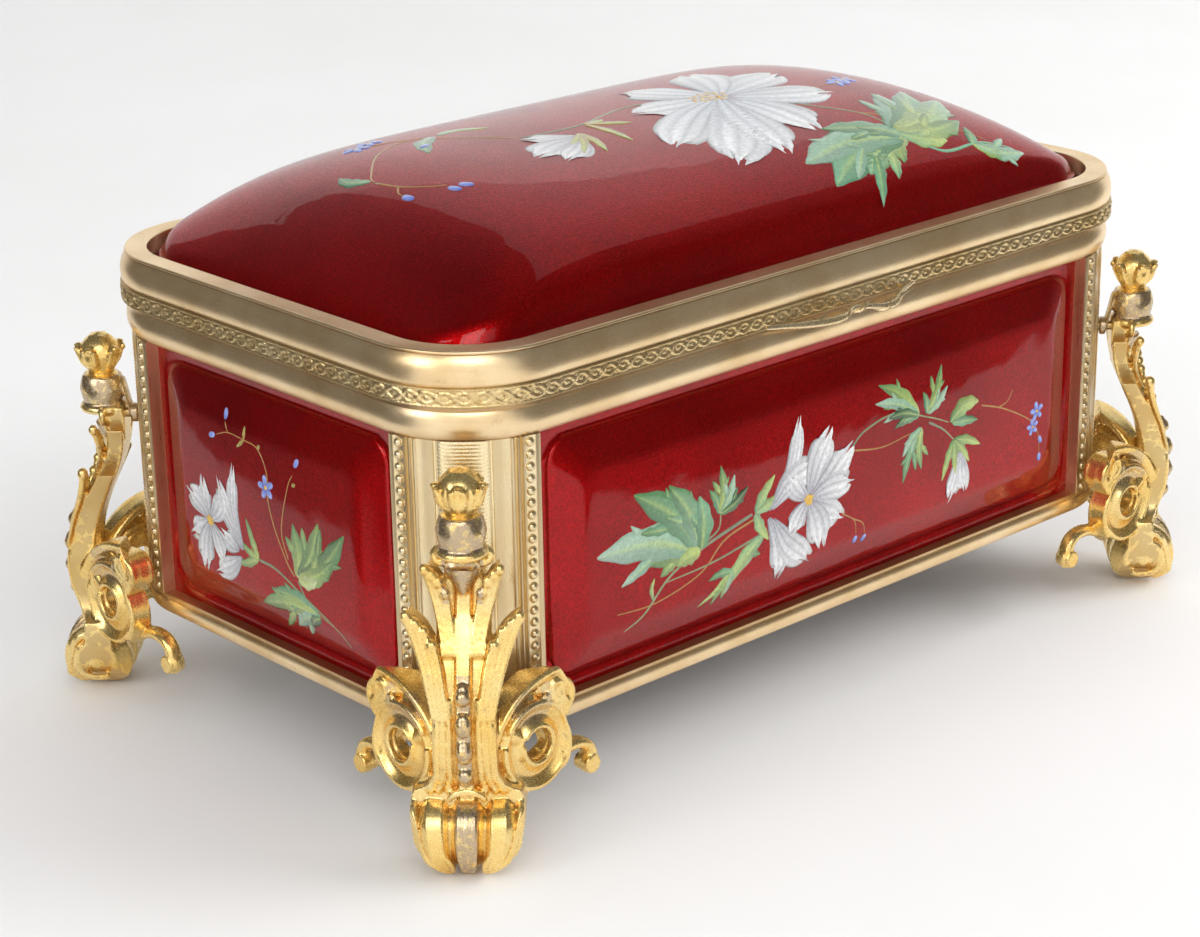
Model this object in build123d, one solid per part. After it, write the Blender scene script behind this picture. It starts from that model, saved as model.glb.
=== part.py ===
from build123d import *
from math import cos, pi, radians, sin, sqrt
import os

# Jewelry casket: four gilt corner feet carry a brass frame with enamel panels,
# and a hinged lid with an enamel dome. Millimetres, front towards -Y, up is +Z.
# The origin is on the ground under the middle of the casket.

# Plan of the frame, at the engraved band, its widest place
frame_length = 180.0
frame_depth = 107.7
frame_corner_radius = 20.5

# Heights of the case, from the ground up
case_clearance = 19.2
base_rail_height = 3.5
opening_height = 48.8
top_rail_height = 6.1
seam_gap = 0.15

# Case frame: how far each face lies inside the engraved band
rail_inset = 1.2
rail_fillet_step = 0.7
pilaster_inset = 1.9
pilaster_strip_rise = 0.5
pilaster_thickness = 2.7
pilaster_width = 19.1
pilaster_strip_width = 3.2
pilaster_core_reach = 14.2
rail_ledge_width = 4.6
rail_ledge_height = 1.0
top_flange_height = 2.6

# Enamel panels
panel_thickness = 1.2
panel_face_inset = 4.0
panel_tongue = 1.5
panel_slot_clearance = 0.1
panel_margin = 4.6
cushion_rise = 2.6
cushion_crown = 1.2
cushion_corner_radius = 8.0
cushion_edge_radius = 2.6

# Liner box and lining
liner_gap = 0.3
liner_wall = 2.2
liner_floor = 2.0
liner_corner_extra = 2.0
lining_gap = 0.3
wall_pad_thickness = 3.2
wall_pad_roll = 1.2
wall_pad_drop = 1.2
floor_pad_height = 3.0
floor_pad_crown = 1.6
floor_pad_edge_radius = 1.2
pad_draw_in = 0.6

# How finely the dome's surface is worked out, and how far surfaces overhang a block
dome_steps = 12
dome_tolerance = 0.005
surface_overhang = 0.5

# Bottom board and its screws
base_board_thickness = 1.0
base_board_overlap = 3.2
board_screw_radius = 0.7
board_screw_head_radius = 1.3
board_screw_head_height = 0.5
board_screw_length = 2.0
board_screws_long_side = 2
board_screws_short_side = 1

# Frame screws, through each rail into the end of each pilaster
frame_screw_radius = 0.8
frame_screw_length = 8.0
frame_screw_head_radius = 1.15
frame_screw_head_height = 0.8
frame_screw_turn = 24.0
screw_clearance = 0.08

# Lid
band_height = 3.4
band_thickness = 1.2
rim_height = 5.9
rim_face_inset = 0.3
rim_wall = 1.0
rim_shoulder_width = 2.3
lip_inset = 1.2
lip_width = 4.2
lip_height = 2.5
lip_groove = 0.35
dome_flange_thickness = 1.3
dome_trough = 2.4
dome_rise = 20.2
dome_end_fullness = 6
dome_side_power = 0.37
dome_skirt = 0.7
dome_shell = 1.8
dome_corner_radius = 12.0
retainer_height = 1.3
retainer_width = 9.5
retainer_screw_radius = 0.6
retainer_screw_head_radius = 1.0
retainer_screw_head_height = 0.5
retainer_screw_length = 1.5
retainer_screws_long_side = 2
retainer_screws_short_side = 1
lid_board_thickness = 1.4
lid_board_gap = 0.3
lid_pad_inset = 2.0
lid_pad_edge = 1.2
lid_pad_crown = 1.4

# Thumbpiece under the front of the engraved band
thumb_length = 39.0
thumb_thickness = 1.0
thumb_reach = 2.9
thumb_notch_reach = 1.5
thumb_lobe_place = 6.4
thumb_seat = 0.8

# Hinge on the back
hinge_length = 70.0
hinge_knuckles = 7
knuckle_radius = 1.9
knuckle_gap = 0.2
hinge_pin_radius = 0.8
hinge_pin_clearance = 0.1
hinge_pin_head_height = 0.8
hinge_leaf_thickness = 0.9
hinge_case_leaf_height = 5.0
hinge_lid_leaf_height = 5.6
hinge_stand_off = 0.35
hinge_screw_radius = 0.6
hinge_screw_head_radius = 1.2
hinge_screw_head_height = 0.5
hinge_screw_length = 1.6
hinge_screws_per_leaf = 3

# Corner feet: places measured outwards from the sharp corner along the diagonal
foot_top = 69.8
foot_root_height = 8.0
foot_waist_height = 14.0
foot_belly_height = 26.0
foot_bend_height = 39.4
foot_neck_height = 47.5
foot_bud_foot_height = 50.0
foot_waist_reach = 1.8
foot_belly_reach = 4.3
foot_bend_reach = -1.8
foot_neck_reach = -4.6
foot_waist_depth = 5.0
foot_belly_depth = 5.4
foot_bend_depth = 3.5
foot_neck_depth = 3.0
foot_neck_half_width = 3.0
stem_half_width = 5.3
stem_rib_half_width = 1.2
stem_rib_rise = 0.7
stem_bead_radius = 1.35
stem_bead_count = 4
stem_bead_low = 17.4
stem_bead_high = 30.6
low_leaf_tip_height = 41.5
low_leaf_tip_width = 9.2
low_leaf_root_width = 4.4
high_leaf_tip_height = 47.8
high_leaf_tip_width = 6.0
bud_axis_reach = -3.4
bud_ball_radius = 4.1
bud_foot_radius = 2.8
bud_waist_radius = 3.2
bud_waist_height = 57.0
bud_crown_radius = 5.1
bud_crown_height = 63.2
bud_tip_radius = 2.0
bud_lobes = 6
bud_lobe_notch = 1.5
toe_radius = 6.5
toe_reach = 0.2
toe_flat_depth = 0.25
toe_half_width = 9.4
toe_bulb_half_width = 1.2
toe_groove_depth = 1.6
arm_ring_along = 11.0
arm_ring_height = 18.9
arm_ring_stand_off = 3.2
arm_ring_radius = 5.0
arm_ring_section = 5.0
volute_stand_off = 2.9
volute_width = 4.4
volute_band = 2.2
volute_eye_radius = 2.0
tail_stand_off = 1.6
tail_width = 3.0
tail_band = 2.0
tail_lobe_radius = 1.7
arm_leaf_thickness = 1.6
boss_radius = 1.8
boss_seat_gap = 0.1
upper_boss_height = 54.0
foot_screw_radius = 0.9
foot_screw_head_radius = 1.7
foot_screw_head_height = 1.0
foot_screw_bite = 5.0

# Levels and faces worked out from the sizes above
base_rail_top = case_clearance + base_rail_height
opening_top = base_rail_top + opening_height
seam_level = opening_top + top_rail_height
case_top = seam_level - seam_gap
band_top = seam_level + band_height
rim_top = band_top + rim_height
lip_underside = rim_top - lip_height
dome_flange_bottom = lip_underside - dome_flange_thickness
retainer_bottom = dome_flange_bottom - retainer_height
half_length = frame_length / 2
half_depth = frame_depth / 2
corner_x = half_length - frame_corner_radius
corner_y = half_depth - frame_corner_radius
corner_centre_reach = -frame_corner_radius * sqrt(2)
panel_back_inset = panel_face_inset + panel_thickness
slot_front_inset = panel_face_inset - panel_slot_clearance
slot_back_inset = panel_back_inset + panel_slot_clearance
rail_back_inset = slot_back_inset
ledge_top = case_clearance + base_board_thickness + rail_ledge_height
ledge_inset = rail_back_inset + rail_ledge_width
base_board_inset = ledge_inset - base_board_overlap
pilaster_back_inset = pilaster_inset + pilaster_thickness
liner_inset = max(rail_back_inset, pilaster_back_inset) + liner_gap
liner_corner_radius = frame_corner_radius - liner_inset + liner_corner_extra
liner_inner_inset = liner_inset + liner_wall
liner_bottom = ledge_top
liner_floor_top = liner_bottom + liner_floor
flange_bottom = case_top - top_flange_height
liner_top = flange_bottom
flange_inset = liner_inner_inset
wall_pad_inset = liner_inner_inset + lining_gap
well_inset = wall_pad_inset + wall_pad_thickness
wall_pad_bottom = liner_floor_top + lining_gap
wall_pad_top = case_top - wall_pad_drop
floor_pad_bottom = liner_floor_top + lining_gap
floor_pad_inset = well_inset + lining_gap
rim_inner_inset = band_thickness + rim_wall
flange_seat_inset = rim_inner_inset + rim_shoulder_width
lip_inner_inset = lip_inset + lip_width
dome_inset = lip_inner_inset + dome_trough
retainer_inset = rim_inner_inset + screw_clearance
lid_board_top = retainer_bottom - retainer_screw_head_height - screw_clearance
lid_board_bottom = lid_board_top - lid_board_thickness
lid_board_inset = rim_inner_inset + lid_board_gap
lid_pad_top = lid_board_bottom - lid_board_gap
hinge_axis_y = half_depth + hinge_leaf_thickness + hinge_stand_off + knuckle_radius
hinge_axis_z = seam_level
opening_length = frame_length - 2 * pilaster_width
opening_width = frame_depth - 2 * pilaster_width

# Corners of the frame, with the direction of each outward diagonal in degrees
corners = {
    "front_right": (1, -1, -45),
    "back_right": (1, 1, 45),
    "back_left": (-1, 1, 135),
    "front_left": (-1, -1, -135),
}

os.makedirs("parts", exist_ok=True)


def save(shape, name):
    shape.label = name
    export_step(shape, f"parts/{name}.step")
    print(name, round(shape.volume, 1))


def outline(inset, radius=None):
    """The frame's rounded rectangle, moved inwards by inset."""
    corner = frame_corner_radius - inset if radius is None else radius
    return RectangleRounded(frame_length - 2 * inset, frame_depth - 2 * inset, corner)


def slab(inset, bottom, top, radius=None):
    return Pos(0, 0, bottom) * extrude(outline(inset, radius), top - bottom)


def ring(outer_inset, inner_inset, bottom, top):
    flat = outline(outer_inset) - outline(inner_inset)
    return Pos(0, 0, bottom) * extrude(flat, top - bottom)


def moulding(profile):
    """Carry a profile, drawn as (minus inset, height), round the frame."""
    section = Plane.XZ * (Pos(frame_corner_radius, 0) * profile)
    turn = revolve(section, Axis.Z, 90)
    pieces = []
    for side_x, side_y, diagonal in corners.values():
        pieces.append(Pos(side_x * corner_x, side_y * corner_y) * Rot(0, 0, diagonal - 45) * turn)
    for run, reach, angles in ((corner_y, corner_x, (0, 180)), (corner_x, corner_y, (90, 270))):
        straight = Pos(reach, -run) * extrude(section, 2 * run, dir=(0, 1, 0))
        for angle in angles:
            pieces.append(Rot(0, 0, angle) * straight)
    return pieces[0] + pieces[1:]


def profile_face(start, *steps):
    """A closed profile of lines, given as points, and arcs, given as pairs of points."""
    edges = []
    place = start
    for step in steps:
        if isinstance(step[0], tuple):
            edges.append(ThreePointArc(place, step[0], step[1]))
            place = step[1]
        else:
            edges.append(Line(place, step))
            place = step
    edges.append(Line(place, start))
    return make_face(edges)


def screw(radius, length, head_radius, head_height):
    """A plain screw along +Z, with its head below the origin."""
    shank = extrude(Circle(radius), length)
    head = Pos(0, 0, -head_height) * extrude(Circle(head_radius), head_height)
    return shank + head


def spread(count, span):
    """Evenly spaced places over a span, centred on nought."""
    return [span * ((2 * i + 1) / (2 * count) - 0.5) for i in range(count)]


def corner_place(side_x, side_y):
    return Pos(side_x * half_length, side_y * half_depth)


# Case frame

def base_rail():
    top, foot = base_rail_top, case_clearance
    mid = (foot + top - rail_fillet_step) / 2
    profile = profile_face(
        (-rail_inset - rail_fillet_step, top),
        (-rail_inset - rail_fillet_step, top - rail_fillet_step),
        ((-rail_inset, mid), (-rail_inset - rail_fillet_step, foot)),
        (-base_board_inset, foot),
        (-base_board_inset, foot + base_board_thickness),
        (-ledge_inset, foot + base_board_thickness),
        (-ledge_inset, ledge_top),
        (-rail_back_inset, ledge_top),
        (-rail_back_inset, top),
    )
    return moulding(profile)


def body_top_rail():
    top, foot = case_top, opening_top
    mid = (foot + top - rail_fillet_step) / 2
    profile = profile_face(
        (-rail_inset, top),
        (-rail_inset, top - rail_fillet_step),
        (-rail_inset - rail_fillet_step / 2, top - rail_fillet_step),
        ((-rail_inset + rail_fillet_step / 2, mid), (-rail_inset - rail_fillet_step, foot)),
        (-rail_back_inset, foot),
        (-rail_back_inset, flange_bottom),
        (-flange_inset, flange_bottom),
        (-flange_inset, top),
    )
    return moulding(profile)


def panel_slots(level):
    """Slots in the rails for the tongues of the four panels, about one level."""
    middle = (slot_front_inset + slot_back_inset) / 2
    width = slot_back_inset - slot_front_inset
    depth = 2 * (panel_tongue + panel_slot_clearance)
    reach = 2 * (panel_tongue + panel_slot_clearance)
    slots = []
    for side in (1, -1):
        long_slot = Box(opening_length + reach, width, depth)
        short_slot = Box(width, opening_width + reach, depth)
        slots.append(Pos(0, side * (half_depth - middle), level) * long_slot)
        slots.append(Pos(side * (half_length - middle), 0, level) * short_slot)
    return slots


def frame_screw_place(side_x, side_y, diagonal):
    """Where the frame screws stand, beside each diagonal and inside the pilaster."""
    radius = frame_corner_radius - pilaster_inset - pilaster_thickness / 2
    angle = radians(diagonal + frame_screw_turn)
    return (side_x * corner_x + radius * cos(angle), side_y * corner_y + radius * sin(angle))


def frame_screws(extra=0.0):
    bottom_screw = screw(
        frame_screw_radius + extra,
        frame_screw_length + extra,
        frame_screw_head_radius + extra,
        frame_screw_head_height + 2 * extra,
    )
    top_screw = Rot(180, 0, 0) * bottom_screw
    pieces = []
    for corner in corners.values():
        x, y = frame_screw_place(*corner)
        pieces.append(Pos(x, y, case_clearance + frame_screw_head_height + extra) * bottom_screw)
        pieces.append(Pos(x, y, case_top - frame_screw_head_height - extra) * top_screw)
    return pieces


def pilaster_section():
    """Plan of one pilaster about the sharp corner, with the frame towards -X and -Y."""
    centre = Pos(-frame_corner_radius, -frame_corner_radius)
    core = outline(pilaster_inset) - outline(pilaster_back_inset)
    core = Pos(-half_length, -half_depth) * core
    window = Pos(-pilaster_width / 2, -pilaster_width / 2) * Rectangle(pilaster_width, pilaster_width)
    body = core & window
    strip = Rectangle(pilaster_strip_rise + panel_thickness, pilaster_strip_width)
    strip_x = -pilaster_inset + pilaster_strip_rise - (pilaster_strip_rise + panel_thickness) / 2
    strip_y = -pilaster_width + pilaster_strip_width / 2
    round_radius = frame_corner_radius - pilaster_inset + pilaster_strip_rise
    wedge = Pos(-pilaster_core_reach / 2, -pilaster_core_reach / 2)
    wedge = wedge * Rectangle(pilaster_core_reach, pilaster_core_reach)
    quarter = (centre * Circle(round_radius) - centre * Circle(round_radius - panel_thickness)) & wedge
    return body + quarter + Pos(strip_x, strip_y) * strip + Pos(strip_y, strip_x) * Rot(0, 0, 90) * strip


def pilaster(side_x, side_y, diagonal):
    height = opening_height
    post = corner_place(side_x, side_y) * Rot(0, 0, diagonal - 45)
    post = post * Pos(0, 0, base_rail_top) * extrude(pilaster_section(), height)
    level = (base_rail_top + opening_top) / 2
    middle = (slot_front_inset + slot_back_inset) / 2
    width = slot_back_inset - slot_front_inset
    tongue = 2 * (panel_tongue + panel_slot_clearance)
    for side in (1, -1):
        long_slot = Box(opening_length + tongue, width, height + 1)
        short_slot = Box(width, opening_width + tongue, height + 1)
        post = post - Pos(0, side * (half_depth - middle), level) * long_slot
        post = post - Pos(side * (half_length - middle), 0, level) * short_slot
    return post


# Enamel

def crown_row(half):
    """Control heights of the arc that is 1 in the middle and 0 at each half."""
    over = ((half + surface_overhang) / half) ** 2
    return (1 - over, 1 + over, 1 - over)


def crowned_block(flat, half_x, half_y, rise, crown, edge):
    """A cushion on a flat outline: upright sides, a rolled edge and a crowned top."""
    reach_x, reach_y = half_x + surface_overhang, half_y + surface_overhang
    grid = []
    for i, along in enumerate(crown_row(half_x)):
        grid.append([])
        for j, across in enumerate(crown_row(half_y)):
            grid[-1].append((reach_x * (i - 1), reach_y * (j - 1), rise + crown * along * across))
    top = Face.make_bezier_surface(grid)
    block = extrude(flat, rise + crown) & Solid.extrude(top, Vector(0, 0, -2 * (rise + crown)))
    rim = [e for e in block.edges() if e.bounding_box().min.Z > 0.6 * rise]
    return fillet(rim, edge)


def enamel_panel(open_width):
    """A panel lying on the XY plane, its face up, with a tongue all round."""
    tongue = 2 * panel_tongue
    plate = extrude(Rectangle(open_width + tongue, opening_height + tongue), panel_thickness)
    width, height = open_width - 2 * panel_margin, opening_height - 2 * panel_margin
    cushion = crowned_block(
        RectangleRounded(width, height, cushion_corner_radius),
        width / 2,
        height / 2,
        cushion_rise,
        cushion_crown,
        min(cushion_edge_radius, 0.9 * cushion_rise),
    )
    return plate + Pos(0, 0, panel_thickness) * cushion


def upright_panel(open_width, distance, turn):
    """Stand a panel on a side of the case, turn degrees round from the front."""
    panel = Rot(90, 0, 0) * enamel_panel(open_width)
    level = (base_rail_top + opening_top) / 2
    return Rot(0, 0, turn) * Pos(0, -distance + panel_back_inset, level) * panel


def dome_solid(skin):
    """The dome's volume, skin millimetres inside its outer face."""
    half_x = half_length - dome_inset + dome_skirt
    half_y = half_depth - dome_inset + dome_skirt

    def height(x, y):
        along = 1 - abs(x / half_x) ** dome_end_fullness
        across = 1 - (y / half_y) ** 2
        return lip_underside - skin + dome_rise * along * across ** dome_side_power

    foot = slab(dome_inset + skin, dome_flange_bottom, rim_top + 2 * dome_rise, dome_corner_radius)
    places = [sin(pi / 2 * (2 * i / dome_steps - 1)) for i in range(dome_steps + 1)]
    reach_x, reach_y = half_x - dome_skirt / 2, half_y - dome_skirt / 2
    grid = [[(x, y, height(x, y)) for y in [reach_y * v for v in places]]
            for x in [reach_x * u for u in places]]
    top = Face.make_surface_from_array_of_points(grid, tol=dome_tolerance, max_deg=5)
    return foot & Solid.extrude(top, Vector(0, 0, -2 * dome_rise))


# Soft lining

def drawn_in_outline(inset, radius, draw_in):
    """A rounded rectangle whose sides pull in between the corners."""
    x, y = half_length - inset, half_depth - inset
    edges = []
    for turn, reach, run in ((0, x, y), (90, y, x), (180, x, y), (270, y, x)):
        side = Spline((reach, -run + radius), (reach - draw_in, 0), (reach, run - radius),
                      tangents=((0, 1), (0, 1)))
        edges.append(Rot(0, 0, turn) * side)
    for side_x, side_y, diagonal in corners.values():
        centre = (side_x * (x - radius), side_y * (y - radius))
        edges.append(CenterArc(centre, radius, diagonal - 45, 90))
    return make_face(edges)


def crowned_pad(inset, radius, edge_height, crown, edge_radius, draw_in):
    """A pad on the XY plane with drawn-in sides, a rolled edge and a crowned top."""
    flat = drawn_in_outline(inset, radius, draw_in)
    half_x, half_y = half_length - inset, half_depth - inset
    return crowned_block(flat, half_x, half_y, edge_height, crown, edge_radius)


# Lid

def lid_rim():
    face, lip = -rim_face_inset, -lip_inset
    groove_top = rim_top - lip_groove
    belly = (band_top + lip_underside) / 2
    profile = profile_face(
        (-band_thickness, seam_level),
        (-band_thickness, band_top),
        (face - lip_groove, band_top),
        ((face, belly), (lip - lip_groove, groove_top - lip_groove)),
        (lip, groove_top),
        ((lip - lip_groove / 2, rim_top - lip_groove / 4), (lip - lip_groove, rim_top)),
        (-lip_inner_inset, rim_top),
        (-lip_inner_inset, lip_underside),
        (-flange_seat_inset, lip_underside),
        (-flange_seat_inset, dome_flange_bottom),
        (-rim_inner_inset, dome_flange_bottom),
        (-rim_inner_inset, seam_level),
    )
    return moulding(profile)


def engraved_band():
    edge = band_thickness / 6
    profile = profile_face(
        (-band_thickness, seam_level),
        (-edge, seam_level),
        (0, seam_level + edge),
        (0, band_top - edge),
        (-edge, band_top),
        (-band_thickness, band_top),
    )
    return moulding(profile)


def enamel_dome():
    flange_inset_here = flange_seat_inset + screw_clearance
    flange = slab(flange_inset_here, dome_flange_bottom, lip_underside - screw_clearance)
    shell = dome_solid(0.0)
    hollow = dome_solid(dome_shell)
    return flange + shell - hollow


def side_places(count_long, count_short, inset, span_trim):
    """Places spread along the four sides at an inset."""
    places = []
    for side in (1, -1):
        for x in spread(count_long, 2 * corner_x - span_trim):
            places.append((x, side * (half_depth - inset)))
        for y in spread(count_short, 2 * corner_y - span_trim):
            places.append((side * (half_length - inset), y))
    return places


def retainer_screws(extra=0.0):
    one = screw(
        retainer_screw_radius + extra,
        retainer_height + retainer_screw_length / 2 + extra,
        retainer_screw_head_radius,
        retainer_screw_head_height,
    )
    inset = rim_inner_inset + rim_shoulder_width / 2
    places = side_places(retainer_screws_long_side, retainer_screws_short_side, inset, 0)
    return [Pos(x, y, retainer_bottom) * one for x, y in places]


def thumbpiece():
    """A lip with a cupid's bow outline, under the band's front edge."""
    root = -half_depth + thumb_seat
    edge = -half_depth
    half = thumb_length / 2
    lobe, tip = thumb_lobe_place, edge - thumb_reach
    bow = [
        Spline((0, edge - thumb_notch_reach), (lobe, tip), (half * 0.62, edge - thumb_reach * 0.45),
               (half, edge), tangents=((1, -0.6), (1, 0.1))),
        Line((half, edge), (half, root)),
        Line((half, root), (-half, root)),
        Line((-half, root), (-half, edge)),
        Spline((-half, edge), (-half * 0.62, edge - thumb_reach * 0.45), (-lobe, tip),
               (0, edge - thumb_notch_reach), tangents=((1, -0.1), (1, 0.6))),
    ]
    flat = make_face(bow)
    return Pos(0, 0, seam_level - thumb_thickness) * extrude(flat, thumb_thickness)


# Hinge

def knuckle(index, pin_hole):
    """One knuckle of the hinge barrel about the hinge axis, with its bore."""
    pitch = hinge_length / hinge_knuckles
    length = pitch - knuckle_gap
    start = -hinge_length / 2 + index * pitch + knuckle_gap / 2
    tube = extrude(Circle(knuckle_radius) - Circle(pin_hole), length)
    return Pos(start, hinge_axis_y, hinge_axis_z) * Rot(0, 90, 0) * tube


def knuckle_web(index, inner_y, low, high):
    """The strap that joins a knuckle to its leaf, between two heights from the axis."""
    pitch = hinge_length / hinge_knuckles
    length = pitch - knuckle_gap
    middle = -hinge_length / 2 + (index + 0.5) * pitch
    depth = hinge_axis_y - knuckle_radius / 2 - inner_y
    box = Box(length, depth, high - low)
    return Pos(middle, inner_y + depth / 2, hinge_axis_z + (low + high) / 2) * box


def hinge_leaf(indices, inner_y, bottom, top, web_low, web_high):
    hole = hinge_pin_radius + hinge_pin_clearance
    leaf = Box(hinge_length - knuckle_gap, hinge_leaf_thickness, top - bottom)
    leaf = Pos(0, inner_y + hinge_leaf_thickness / 2, (top + bottom) / 2) * leaf
    for index in indices:
        leaf = leaf + knuckle(index, hole) + knuckle_web(index, inner_y, web_low, web_high)
    bore = Pos(-hinge_length, hinge_axis_y, hinge_axis_z) * Rot(0, 90, 0)
    return leaf - bore * extrude(Circle(hole), 2 * hinge_length)


def hinge_pin():
    pin_length = hinge_length + 2 * hinge_pin_clearance
    pin = extrude(Circle(hinge_pin_radius), pin_length)
    head = extrude(Circle(knuckle_radius * 0.75), hinge_pin_head_height)
    head = chamfer(head.faces().sort_by(Axis.Z)[-1].edges(), hinge_pin_head_height * 0.4)
    tail = Rot(180, 0, 0) * head
    whole = pin + Pos(0, 0, pin_length) * head + tail
    return Pos(-pin_length / 2, hinge_axis_y, hinge_axis_z) * Rot(0, 90, 0) * whole


def hinge_screws(level, face_y, extra=0.0):
    one = screw(
        hinge_screw_radius + extra,
        hinge_leaf_thickness + hinge_screw_length + extra,
        hinge_screw_head_radius,
        hinge_screw_head_height,
    )
    turned = Rot(90, 0, 0) * one
    return [Pos(x, face_y + hinge_leaf_thickness, level) * turned
            for x in spread(hinge_screws_per_leaf, hinge_length)]


# Feet, drawn about the sharp corner with +X along the outward diagonal

def stem_stations():
    """Reach, height and depth of the stem, from the toe up to the bud."""
    low_middle = (foot_waist_height + foot_belly_height) / 2
    high_middle = (foot_belly_height + foot_bend_height) / 2
    return [
        (foot_waist_reach, foot_waist_height, foot_waist_depth),
        (foot_belly_reach, low_middle, foot_belly_depth),
        (foot_belly_reach, foot_belly_height, foot_belly_depth - 0.6),
        ((foot_belly_reach + foot_bend_reach) / 2 + 0.9, high_middle, foot_bend_depth + 0.7),
        (foot_bend_reach, foot_bend_height, foot_bend_depth),
        (foot_neck_reach + 0.6, (foot_bend_height + foot_neck_height) / 2, foot_neck_depth),
        (foot_neck_reach, foot_neck_height, foot_neck_depth),
        (foot_neck_reach + 0.2, foot_bud_foot_height + 1, foot_neck_depth),
    ]


def stem_side(raised, share):
    """The bent side view of the stem, raised outwards and taken to a share of its depth."""
    outer = [(reach + raised, height) for reach, height, depth in stem_stations()]
    inner = [(reach - depth * share, height) for reach, height, depth in stem_stations()]
    inner.reverse()
    edges = [
        Spline(*outer),
        Line(outer[-1], inner[0]),
        Spline(*inner),
        Line(inner[-1], (inner[-1][0], foot_root_height)),
        Line((inner[-1][0], foot_root_height), (outer[0][0], foot_root_height)),
        Line((outer[0][0], foot_root_height), outer[0]),
    ]
    return Plane.XZ * make_face(edges)


def stem_front():
    """Half of the front view: flared root, fluted stem and the two pairs of leaves."""
    root = toe_half_width - 0.4
    stem = stem_half_width
    flare_top = foot_waist_height - 0.2
    low_tip = (low_leaf_tip_width, low_leaf_tip_height)
    low_axil = (low_leaf_root_width, low_leaf_tip_height - 4.7)
    high_tip = (high_leaf_tip_width, high_leaf_tip_height)
    high_axil = (foot_neck_half_width, high_leaf_tip_height - 3.2)
    top = foot_bud_foot_height + 0.8
    edges = [
        Line((0, foot_root_height), (root, foot_root_height)),
        ThreePointArc((root, foot_root_height), (root + 0.5, foot_waist_height - 3), (root, flare_top)),
        ThreePointArc((root, flare_top), (stem + 1, flare_top + 1.4), (stem, flare_top + 4.2)),
        Line((stem, flare_top + 4.2), (stem - 0.1, foot_belly_height - 1)),
        Spline(
            (stem - 0.1, foot_belly_height - 1),
            (stem - 0.4, foot_belly_height + 5),
            (low_leaf_tip_width - 2.6, low_leaf_tip_height - 5),
            low_tip,
            tangents=((-0.1, 1), (0.5, 1)),
        ),
        ThreePointArc(low_tip, (low_leaf_tip_width - 2.6, low_leaf_tip_height - 1.6), low_axil),
        Spline(
            low_axil,
            (low_leaf_root_width + 0.1, low_leaf_tip_height),
            high_tip,
            tangents=((0.05, 1), (0.6, 1)),
        ),
        ThreePointArc(high_tip, (high_leaf_tip_width - 1.8, high_leaf_tip_height - 1.2), high_axil),
        Line(high_axil, (foot_neck_half_width + 0.4, top)),
        Line((foot_neck_half_width + 0.4, top), (0, top)),
        Line((0, top), (0, foot_root_height)),
    ]
    return Plane.YZ * make_face(edges)


def foot_stem():
    """The S-curved stem with its leaves, its middle rib and a row of beads."""
    blades = extrude(stem_side(0, 1), 2 * toe_half_width, both=True)
    half = blades & extrude(stem_front(), 3 * toe_half_width, both=True)
    body = half + mirror(half, about=Plane.XZ)
    body = body + extrude(stem_side(stem_rib_rise, 0.5), stem_rib_half_width, both=True)
    pitch = (stem_bead_high - stem_bead_low) / (stem_bead_count - 1)
    for index in range(stem_bead_count):
        height = stem_bead_low + pitch * index
        reach = foot_belly_reach + 0.9 - 0.022 * (height - foot_belly_height + 3) ** 2
        body = body + Pos(reach, 0, height) * Sphere(stem_bead_radius)
    return body


def foot_bud():
    """The bud on the stem: a ball, a cup of acanthus lobes and a small tip."""
    low = foot_bud_foot_height
    ball = (low + bud_waist_height) / 2
    crest = foot_top - 0.8
    lobe_bend = (bud_crown_radius - 0.5, (bud_crown_height + crest) / 2)
    outline_edges = [
        Line((0, low), (bud_foot_radius, low)),
        ThreePointArc((bud_foot_radius, low), (bud_ball_radius, ball), (bud_waist_radius, bud_waist_height)),
        Line((bud_waist_radius, bud_waist_height), (bud_crown_radius, bud_crown_height)),
        ThreePointArc((bud_crown_radius, bud_crown_height), lobe_bend, (bud_tip_radius, crest)),
        Line((bud_tip_radius, crest), (0, foot_top)),
        Line((0, foot_top), (0, low)),
    ]
    bud = Pos(bud_axis_reach, 0, 0) * revolve(Plane.XZ * make_face(outline_edges), Axis.Z, 360)
    notch_ring = bud_crown_radius + 0.5
    for index in range(bud_lobes):
        angle = 360 * (index + 0.5) / bud_lobes
        notch = Rot(0, 0, angle) * Pos(notch_ring, 0, 0) * Rot(0, 0, 45)
        cut = extrude(notch * Rectangle(bud_lobe_notch, bud_lobe_notch), foot_top - bud_waist_height)
        bud = bud - Pos(bud_axis_reach, 0, bud_waist_height + 0.5) * cut
    return bud


def arm_plane(stand_off):
    """A plane along one face of the case: X runs along it, Y up, Z outwards."""
    reach = stand_off / sqrt(2)
    return Plane(origin=(reach, reach, 0), x_dir=(-1, 1, 0), z_dir=(1, 1, 0))


def curled_band(start, direction, arcs, width, band, stand_off):
    """A flat band swept along arcs that run into one another, and the place where it ends."""
    place = Vector(*start)
    heading = Vector(*direction)
    edges = []
    for radius, turn in arcs:
        edge = JernArc(place, heading, radius, turn)
        edges.append(edge)
        place = edge @ 1
        heading = edge % 1
    plane = arm_plane(stand_off)
    path = plane * Wire(edges)
    section = Plane(origin=path @ 0, x_dir=plane.z_dir, z_dir=path % 0)
    outline_face = section * chamfer(Rectangle(width, band).vertices(), 0.3 * band)
    return sweep(outline_face, path=path), place


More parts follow.
